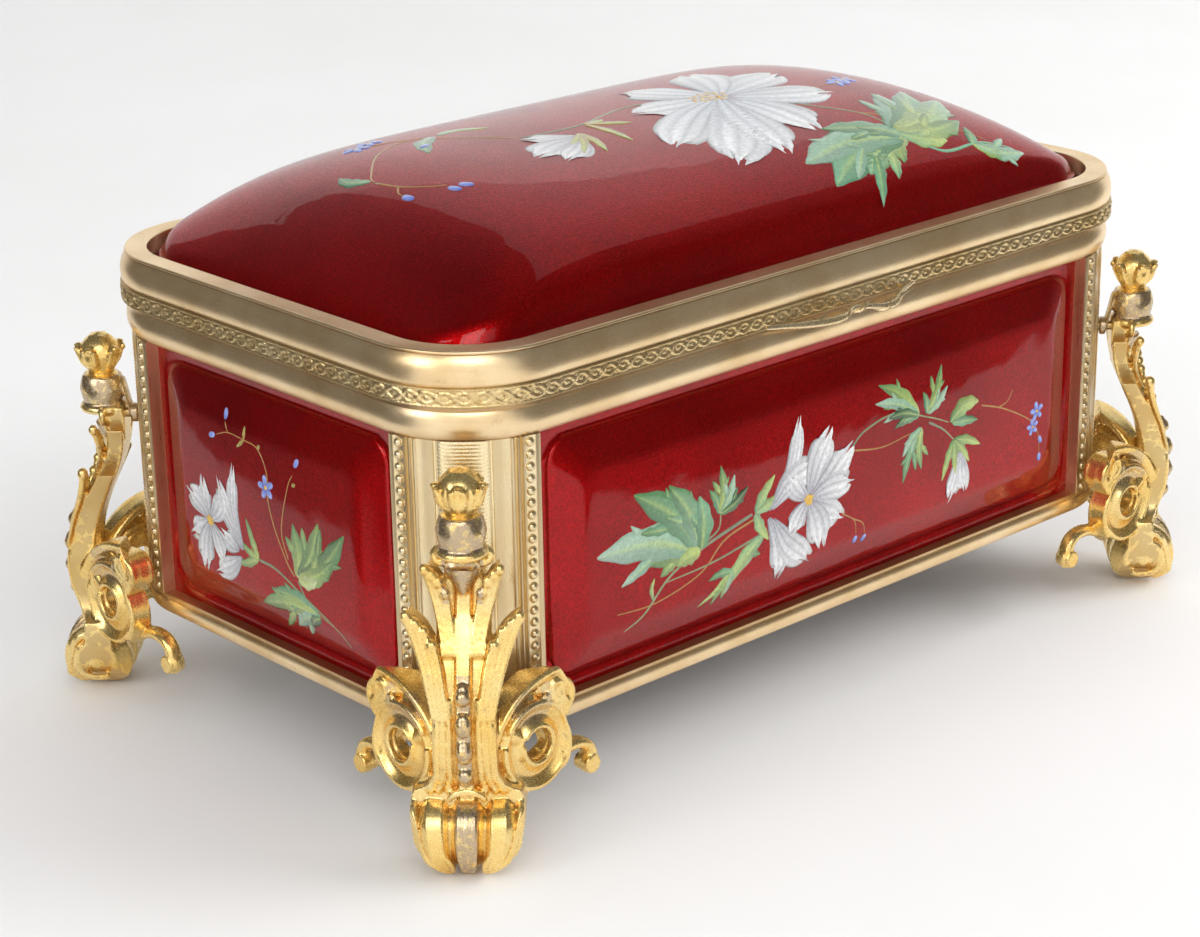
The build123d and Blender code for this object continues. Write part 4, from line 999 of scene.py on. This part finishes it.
GREENS = [(SEA_GREEN, GREEN), (LIGHT_GREEN, GREEN), (SEA_GREEN, mixed(SEA_GREEN, WHITE, 0.25)),
          (GREEN, DARK_GREEN)]


def panel_surface(side):
    half_x, place = PANELS[side]
    cx, cy = half_x - PANEL_MARGIN, PANEL_HALF_Y - PANEL_MARGIN
    return lambda x, y, over: place(x, y, panel_height(x, y, min(cx - abs(x), cy - abs(y)), half_x) + over)


def long_spray(side):
    s = Spray(panel_surface(side))
    s.stems((0.5, STEM, (-22, -2.6), (-34.5, -5.7), (-42.6, -9), (-48.2, -14.1), (-53, -16.7)),
            (0.36, STEM, (-19.5, -7.1), (-32, -9.2), (-44.6, -9.9)),
            (0.3, OCHRE, (-22, -3.8), (-29.5, -5.8), (-35.3, -10.5), (-45.8, -13), (-55.3, -12.6)),
            (0.34, STEM, (-33.6, -4.7), (-30.8, -3), (-30.5, 1.5)),
            (0.32, STEM, (3, 3.2), (6.6, 5.5), (14.7, 6.7), (24.1, 3.7), (30.3, 1.1)),
            (0.24, OCHRE, (3, 2.5), (11.2, 1.1), (19.5, 1.8)),
            (0.34, STEM, (24.1, 2.7), (28.4, 0.2), (31.9, -2.9)),
            (0.22, OCHRE, (39.4, 2.2), (46.4, -0.2), (54.7, -4.6), (57.6, -8), (58.3, -12.6)),
            (0.2, OCHRE, (45, 0.4), (47.6, 1), (49.2, 3)),
            (0.2, OCHRE, (0.6, -9.1), (4.2, -11.4), (5, -14.6)),
            (0.2, OCHRE, (3.4, -10.8), (6.6, -12.6), (7.4, -15)))
    s.lobe(0.5, STEM, LIGHT_GREEN, (-46.4, -12.6), (-46.9, -10.2), (-46.2, -8.2))
    s.leaf((-35.2, -6.2), [(-48.4, -5.4), (-59.7, -0.9), (-51, 8.4), (-42.8, 8), (-35.6, 4.2), (-41, -7.6)], 2.9,
           [(LIGHT_GREEN, GREEN), (SEA_GREEN, mixed(SEA_GREEN, WHITE, 0.3)), (SEA_GREEN, GREEN),
            (mixed(SEA_GREEN, WHITE, 0.15), GREEN), (GREEN, SEA_GREEN),
            (LIGHT_GREEN, mixed(LIGHT_GREEN, GREEN, 0.5))])
    s.leaf((-30.6, -0.6), [(-33.2, 4.6), (-30.3, 8.4), (-27, 5.9), (-23.6, 2.9)], 1.5, GREENS)
    s.leaf((-24, -9), [(-20.4, -11)], 1.5, GREENS)
    s.lobe(1.7, SEA_GREEN, LIGHT_GREEN, (-19.6, -7.4), (-23, -9.6), (-27.6, -13.2), (-35.2, -17.6))
    s.leaf((-27, -12.4), [(-33.3, -12.6), (-31.6, -18.2), (-28.6, -16.8)], 1.3, GREENS)
    s.leaf((21.6, 4.7), [(15.2, 3.9), (10.2, 13.2), (9.2, 9.8), (12.4, 6.2)], 1.5, GREENS)
    s.leaf((23.8, 4.4), [(22.6, 9), (27.9, 13.2), (29.6, 8.6)], 1.4, GREENS)
    s.lobe(1.9, GREEN, LIGHT_GREEN, (30.3, 1.1), (34.6, 3.4), (38.9, 3.3))
    s.lobe(1.1, SEA_GREEN, GREEN, (31, 0.8), (35, 0.3), (38.7, -0.4))
    s.leaf((22.2, 2.2), [(17.2, -7.8), (22.4, -6.3), (16.9, -2.4)], 1.4, GREENS)
    s.petals(((33.4, -5.4), (31.4, -14.4), 2.3, 0.05), ((34.2, -5.2), (35.4, -13.6), 2.2, -0.05))
    s.lobes((31.6, -2.6), ((28.6, -10.4), (32.4, -10.2), (39.8, -5.7), (36.6, -8.4)), (0.1, 0.4), 1,
            GREEN, LIGHT_GREEN)
    s.lobes((-22, -2.8), ((-17, 3.3), (-18.4, -8.9), (-14.4, -1)), (-0.4, 0), 1.2, SEA_GREEN, LIGHT_GREEN)
    s.petals(((-18.6, -3.4), (-10.6, 11.4), 1.9, -0.12), ((-18.6, -4.6), (-14.8, -17), 3, 0.1),
             ((-18, -3.2), (-6.8, 2.6), 3.2, 0.1), ((-17.4, -5.2), (-7.8, -15.8), 3.2, -0.08))
    s.bloom((-8.4, -3.8), [(-3, 7.6, 1), (2.6, 3.4, 1), (2.6, -3.2, 0.9), (0.2, -9.4, 0.9), (-4.6, -13.6, 1),
                           (-12.4, -9.4, 0.75), (-13.4, 1.6, 0.7)], 3.4)
    s.small_flower(56.9, -3.4, 1.5)
    s.small_flower(55.8, -6.4, 1.3)
    s.buds(0.6, 1.5, (58.4, -9.6, 2), (58.3, -13.2, 1.5), (5, -15.6, 1.6), (7.5, -16, 1.4))
    s.lay("painting_" + side, "case")


def short_spray(side):
    s = Spray(panel_surface(side))
    s.stems((0.42, STEM, (-2.4, -8.1), (2.7, -8.5), (9, -11.1), (17.8, -15), (21, -18.7)),
            (0.3, STEM, (8.8, -8.8), (11.7, -12.7), (18.5, -15.3)),
            (0.26, OCHRE, (8.2, -8.4), (6.5, -6.7), (3.4, -1), (1.7, 4.1), (1.5, 9.1), (-1.1, 12.8), (-5, 13.4),
             (-9.8, 13.6), (-13.4, 12.4)),
            (0.22, OCHRE, (6.7, -5.8), (5.2, -0.5), (7.4, 7.9), (8.9, 10.6)),
            (0.2, OCHRE, (-9.8, 13.6), (-10.8, 15.4)))
    for near, tip in (((-5, 13.4), (-5.1, 15.9)), ((-5, 13.4), (-7.2, 11.6)), ((-1.1, 12.8), (-0.4, 13.6)),
                      ((8.6, 8.6), (9.6, 9))):
        s.lobe(0.42, OCHRE, mixed(OCHRE, LIGHT_GREEN, 0.5), near, tip)
    s.leaf((9, -8.6), [(8.4, 1.8), (15.5, 3.7), (22.4, 3.2), (19.2, -2.4), (14.6, -7.4)], 2.3,
           [(LIGHT_GREEN, GREEN), (GREEN, mixed(GREEN, LIGHT_GREEN, 0.4)), (mixed(GREEN, OCHRE, 0.2), GREEN),
            (LIGHT_GREEN, GREEN), (LIGHT_GREEN, mixed(LIGHT_GREEN, WHITE, 0.3))])
    s.leaf((14.4, -14.4), [(0.6, -12.8), (-3.8, -17), (5.6, -19), (10.6, -17.4)], 2, GREENS)
    s.lobes((-2.2, -8.1), ((-5.3, -0.9), (-9.3, -10.6), (-7.6, -6)), (0, -0.4), 0.9, LIGHT_GREEN, GREEN)
    s.petals(((-6.6, -7.6), (-8.6, 7.2), 1.8, 0.1), ((-6.8, -7.8), (-13.2, 3.6), 2.2, 0.06),
             ((-7.4, -9.2), (-15.2, -14), 2.4, 0.05), ((-8, -8), (-12.6, -6), 2.6, 0.05))
    s.bloom((-16.6, -4.6), [(-18.4, 2.4, 0.8), (-22.9, -0.4, 0.9), (-22.4, -8.4, 0.9), (-19.4, -14.2, 0.9),
                            (-13.2, -11.4, 0.8), (-12.2, 0.6, 0.8)], 3)
    s.small_flower(1.2, 6.3, 1.7)
    s.buds(0.62, 1.7, (-14.7, 12, 0.3), (-11.1, 16.6, 1.9), (9.9, 12.9, 1))
    s.lay("painting_" + side, "case")


def dome_surface(x, y, over):
    step = 0.05
    slope_x = (dome_height(x + step, y) - dome_height(x - step, y)) / (2 * step)
    slope_y = (dome_height(x, y + step) - dome_height(x, y - step)) / (2 * step)
    size = math.sqrt(1 + slope_x ** 2 + slope_y ** 2)
    return (x - slope_x / size * over, y - slope_y / size * over, dome_height(x, y) + over / size)


def lid_spray():
    s = Spray(dome_surface)
    s.stems((0.5, STEM, (-28.9, -0.8), (-15.2, -1.3), (0.6, 3), (16.7, 0)),
            (0.5, STEM, (23.7, -3.7), (28.4, -16.3), (35.8, -26.1), (36.6, -36.3)),
            (0.5, SEA_GREEN, (36.4, -35.4), (41.7, -40.6), (52.5, -40.2), (60.1, -42.3)),
            (0.28, OCHRE, (30, -8), (38, -9.4), (46.4, -9.4)),
            (0.26, OCHRE, (34, -24), (44, -31), (55, -40)),
            (0.36, OCHRE, (-28.9, -0.8), (-35, 8), (-40.4, 16.2), (-50.1, 13.6), (-58.6, 5.1), (-60.2, 2)),
            (0.28, OCHRE, (-60.2, 2), (-59.3, -3.9), (-57.1, -8.2), (-54.6, -11)),
            (0.24, OCHRE, (-59.4, -3.4), (-61, -5.4), (-61.3, -7.2)),
            (0.24, OCHRE, (-40.4, 16.2), (-44, 19.4), (-48.1, 21.5)))
    s.lobe(1.4, SEA_GREEN, GREEN, (-60.2, 3.2), (-61.8, 7.2), (-61.2, 11.2))
    s.lobe(1.9, SEA_GREEN, GREEN, (-36.8, 14.3), (-41.9, 10.9), (-46, 4.2))
    s.lobe(1.4, SEA_GREEN, LIGHT_GREEN, (-35.8, 14.3), (-31.5, 14.9), (-26.3, 10.5))
    pale = (SEA_GREEN, mixed(SEA_GREEN, WHITE, 0.2))
    s.leaf((36.4, -35), [(26, -40.2), (20, -41.6), (10.4, -42), (8.6, -36), (21.8, -27.4), (28.8, -29.4)], 3.2,
           [(LIGHT_GREEN, GREEN), (LIGHT_GREEN, SEA_GREEN), (GREEN, SEA_GREEN), pale, (SEA_GREEN, GREEN),
            (mixed(SEA_GREEN, WHITE, 0.1), GREEN)])
    s.leaf((35.4, -34), [(47.2, -17.9), (55.2, -17.7), (60, -23), (54.3, -33.5), (45, -38.6)], 3,
           [pale, (GREEN, SEA_GREEN), (LIGHT_GREEN, SEA_GREEN), (LIGHT_GREEN, GREEN), (SEA_GREEN, LIGHT_GREEN)])
    s.leaf((50, -40.4), [(53, -35.6), (57, -43.4), (62.1, -43.3)], 1.8, GREENS)
    s.petals(((-20.4, -6.8), (-28.6, -2.4), 2.8, 0.05), ((-20.8, -8), (-33.8, -11.4), 4.4, -0.05),
             ((-21.2, -9), (-30.6, -15.8), 3.2, 0.06))
    s.lobes((-18.8, -5.6), ((-22, -16.6), (-27, -15.8), (-25.4, -10.6)), (0.6, 0), 1, OCHRE, LIGHT_GREEN)
    s.lobes((-14, -1.6), ((-14, -14.9), (-9, -1.3), (-6.4, -6.4)), (0.6, 0), 1, OCHRE, LIGHT_GREEN)
    centre = cx, cy = 19, -3.6
    tips = [(-0.6, -2, 1), (-8.8, -20.6, 0.9), (-3, -30.8, 1), (8.8, -30.8, 0.95), (21.8, -26.4, 0.95),
            (38.6, -13.4, 1), (41.6, 3.6, 1), (31.6, 17.6, 1), (10.6, 13.6, 1)]
    for k, (x, y, share) in enumerate(tips):
        s.petal(centre, (x, y), 6.4 * share, 0.04 * (-1) ** k, COOL, 1.5)
    for k in range(18):
        angle = 2 * math.pi * k / 18
        s.stroke([(cx + reach * math.cos(angle), cy + reach * math.sin(angle))
                  for reach in (1.2, 5.2 + 1.6 * math.sin(k * 5))],
                 lambda v: 0.36 * (1 - 0.8 * v), WINE, mixed(WINE, COOL, 0.4), across=4, along=6)
    for k in range(26):
        angle, r = 2.4 * k, 0.62 * math.sqrt(k)
        s.dab((cx - 1.5 + 1.5 * r * math.cos(angle), cy + 1.2 + r * math.sin(angle)), 0.62,
              mixed(YELLOW, OCHRE, 0.6 * (k % 2)), mixed(YELLOW, WHITE, 0.3 * (k % 3 == 0)))
    for x, y in ((46.4, -8.9), (49.6, -7.4), (-48.5, 22.2), (-44.2, 24)):
        s.small_flower(x, y, 2)
    s.buds(0.85, 1.7, (-54.7, -13.1, 1.9), (-52.4, -13.4, 2.2), (-61.3, -8.4, 1.6), (-43.1, 9.1, 0.4))
    s.lay("painting_lid", "lid")


for side in ("front", "back"):
    long_spray(side)
for side in ("left", "right"):
    short_spray(side)
lid_spray()
feet()


# Thumbpiece

def thumbpiece():
    """A twig that winds in and out below the band, with a thinner shoot twisted round its middle."""
    rope = Cast()
    spots = [Vector(p) for p in (
        (-19.4, -53.3, 77.9), (-15.5, -54, 77.5), (-11.5, -55, 77.1), (-6.5, -56, 76.8), (-2.5, -56, 76.75),
        (1.2, -54.8, 77.2), (4.5, -54.9, 76.95), (8.5, -56, 76.4), (11, -56, 76.5), (13.6, -54.9, 77.2),
        (16.4, -53.9, 77.8), (19.4, -53.2, 78.1))]
    path = []
    for near in zip(spots[:1] + spots, spots, spots[1:], spots[2:] + spots[-1:]):
        path += [between(*near, j / 7) for j in range(7)]
    path.append(spots[-1])
    rope.tube(path, [0.4, 0.55, 0.75, 0.85, 0.6, 0.5, 0.75, 0.8, 0.55, 0.35], 12)
    shoot = []
    for i, p in enumerate(path[22:60]):
        turn, wide = 0.62 * i, 0.72 * max(math.sin(math.pi * i / 37), 0) ** 0.5 + 0.1
        shoot.append(p + Vector((0, wide * math.sin(turn), wide * math.cos(turn))))
    rope.tube(shoot, [0.16, 0.3, 0.32, 0.28, 0.14], 8)
    for x, y, z, up in ((-9, -55.6, 77, 0.9), (6.4, -55.5, 76.7, -0.2), (12.2, -55.6, 76.9, 0.8)):
        rope.tube([(x, y, z), (x + 1.3, y - 0.35, z + up), (x + 2.4, y - 0.4, z + up * 1.2)], [0.4, 0.15], 7)
    new_piece("thumbpiece_twig", rope.points, rope.faces, PILASTER, "lid", "gilt_frame", ["thumbpiece"], 60)


thumbpiece()


# Linings

def tufts(a, b, pitch):
    """From 0 along the stitched diagonals to 1 in the middle of a puff."""
    return (abs(math.sin(math.pi * (a + b) / pitch)) * abs(math.sin(math.pi * (a - b) / pitch))) ** 0.45


def tufted_pad(name, half_x, half_y, radius, base, depth, body, node, pitch):
    """A tufted pad on a flat base. A negative depth makes it face down."""
    roll, pace = 3.2, 1.1
    steps = [0, 0.15, 0.4, 0.8, 1.4, 2.2] + [3 + pace * i for i in range(int((half_y - roll) / pace))] + [half_y]

    def height(x, y, inwards):
        t = min(inwards / roll, 1)
        edge = math.sqrt(1 - (1 - t) ** 2)
        middle = 0.22 * (1 - (x / half_x) ** 2) * (1 - (y / half_y) ** 2)
        puff = 0.34 * tufts(x + 0.5 * pitch, y, pitch) * t
        return base + depth * edge * (0.44 + middle + puff)

    points, ring = cushion_rings(half_x, half_y, radius, steps, height, 14, 1.6)
    faces = grid_faces(len(steps), ring, wrap_columns=True, flip=depth > 0)
    points += [(x, y, base - 0.02 * math.copysign(1, depth)) for x, y, z in points[:ring]]
    faces += row_faces([0, len(steps)], ring) + [tuple(range(len(points) - ring, len(points)))]
    piece = new_piece(name, points, faces, SILK, body, "lining_silk", [node])
    merge(piece.data)


def wall_lining():
    """The padded wall of the well, gathered into upright pleats under a rolled top edge."""
    radius, low, high, pleat = 14.4, 23.55, 76.2, 10.4
    under = high - 2.9

    def profile(run):
        puff = abs(math.sin(math.pi * run / pleat)) ** 0.55
        row = [(0.02, low), (0.02, 60), (0.15, high - 1.2), (0.9, high - 0.25), (1.75, high), (2.6, high - 0.3),
               (3, high - 1), (2.75, high - 2), (2.1 + 0.4 * puff, under)]
        for i in range(1, 14):
            t = i / 14
            belly = 1 - (2 * t - 1) ** 4
            row.append((2.1 + (0.25 + 0.8 * belly) * puff, under - (under - low - 0.8) * t))
        return row + [(2.1 + 0.3 * puff, low)]

    points, faces = carried(rounded_stations(81.9, 45.75, radius, 26, 1.15), radius, profile)
    piece = new_piece("wall_lining", points, faces, SILK, "case", "lining_silk", ["lining_wall_pad"])


tufted_pad("floor_lining", 78.2, 42.05, 10.8, 23.6, 4.3, "case", "lining_floor_pad", 17)
tufted_pad("lid_lining", 85.2, 49.05, 15.6, 79.45, -2.4, "lid", "lid_lining_pad", 21)
wall_lining()


# Stage, lamps and camera

def stage():
    """A pale floor that sweeps up on every side; towards the viewer, mirrors see it painted dark, a painted dark
    reflection of the room.
    """
    s = Shade("pale_floor", Roughness=0.75, Specular_IOR_Level=0.25)
    tone = s.blend(s.span(s.noise(7, 3), 0.3, 0.7), (0.83, 0.825, 0.815), (0.86, 0.855, 0.85))
    x, y = (s.node("SeparateXYZ", {0: s.node("TexCoord", output=3)}, output=way) for way in (0, 1))
    past_front = s.calc("MULTIPLY", s.span(y, -0.168, -0.176), s.span(x, -0.03, 0))
    past_left = s.calc("MULTIPLY", s.span(x, -0.179, -0.188), s.span(y, -0.03, 0))
    glossy_ray = s.node("LightPath", output=3)
    # Painted reflection: past the front and left, the floor is dark to mirror rays only, standing in for a dark
    # room
    painted_dark_reflection = s.calc("MULTIPLY", s.calc("MAXIMUM", past_front, past_left), glossy_ray)
    s.set(Base_Color=s.blend(painted_dark_reflection, tone, (0.05, 0.04, 0.035)), Normal=s.bump(s.noise(900, 3), 0.05, 0.0002))
    flat, sweep, sides = 850, 350, 96
    profile = [(0, 0), (60, 0), (200, 0), (500, 0), (flat, 0)]
    profile += [(flat + sweep * math.sin(a), sweep - sweep * math.cos(a))
                for a in [math.pi / 2 * i / 12 for i in range(1, 13)]]
    profile += [(flat + sweep, 500), (flat + sweep, 900)]
    points = [(r * math.cos(2 * math.pi * j / sides), r * math.sin(2 * math.pi * j / sides), z)
              for r, z in profile for j in range(sides)]
    faces = grid_faces(len(profile), sides, wrap_columns=True)
    floor = link("floor", new_mesh("floor", points, faces, s.material))
    merge(floor.data)


def lamp(name, place, aim, size, power, shown=True):
    """A flat lamp in metres and watts. Mirrors see it only if it is shown."""
    data = bpy.data.lights.new(name, "AREA")
    data.shape, data.size, data.size_y = "RECTANGLE", *size
    data.energy = power
    piece = link(name, data)
    piece.location = place
    piece.visible_glossy = shown
    piece.rotation_mode = "QUATERNION"
    piece.rotation_quaternion = (Vector(aim) - Vector(place)).to_track_quat("-Z", "Y")


stage()
lamp("top_box", (0.1, -0.1, 1.0), (0, 0, 0.05), (1.1, 0.9), 1.6, shown=False)
lamp("right_box", (0.85, -0.75, 0.5), (0, 0, 0.05), (0.9, 0.6), 13.0, shown=False)
lamp("front_box", (-0.78, -0.86, 0.72), (0, 0, 0.05), (0.9, 0.8), 7.5)
lamp("left_box", (-1.0, 0.0, 0.5), (0, 0, 0.05), (0.45, 0.45), 2.4)
lamp("ceiling", (1.2, 0.8, 1.0), (1.2, 0.8, 0), (1.7, 1.9), 5.0)
world = bpy.data.worlds.new("world")
bpy.context.scene.world = world
world.use_nodes = True
sky = world.node_tree
rays = sky.nodes.new("ShaderNodeLightPath")
level = sky.nodes.new("ShaderNodeMapRange")
level.inputs["To Min"].default_value, level.inputs["To Max"].default_value = 0.46, 0.05
sky.links.new(rays.outputs["Is Glossy Ray"], level.inputs["Value"])
sky.links.new(level.outputs[0], sky.nodes["Background"].inputs["Strength"])
sky.nodes["Background"].inputs["Color"].default_value = (0.95, 0.97, 1.0, 1)


def camera():
    azimuth, elevation, roll = map(math.radians, (-42.479, 20.269, -1.003))
    back = Vector((math.sin(azimuth) * math.cos(elevation), -math.cos(azimuth) * math.cos(elevation),
                   math.sin(elevation)))
    right = (-back).cross(Vector((0, 0, 1))).normalized()
    up = right.cross(-back)
    right, up = (math.cos(roll) * right + math.sin(roll) * up, -math.sin(roll) * right + math.cos(roll) * up)
    place = -7.968 * right + 33.371 * up + 569.785 * back - Vector((0, 0, 2.5))
    data = bpy.data.cameras.new("camera")
    sensor, focal_pixels, frame_pixels = 36.0, 2849.18, 1200
    data.sensor_width, data.lens = sensor, sensor * focal_pixels / frame_pixels
    data.clip_start, data.clip_end = 0.01, 20
    piece = link("camera", data)
    piece.matrix_world = Matrix((right, up, back)).transposed().to_4x4()
    piece.location = place * MM
    bpy.context.scene.camera = piece


camera()
bpy.context.scene.view_settings.view_transform = "Standard"
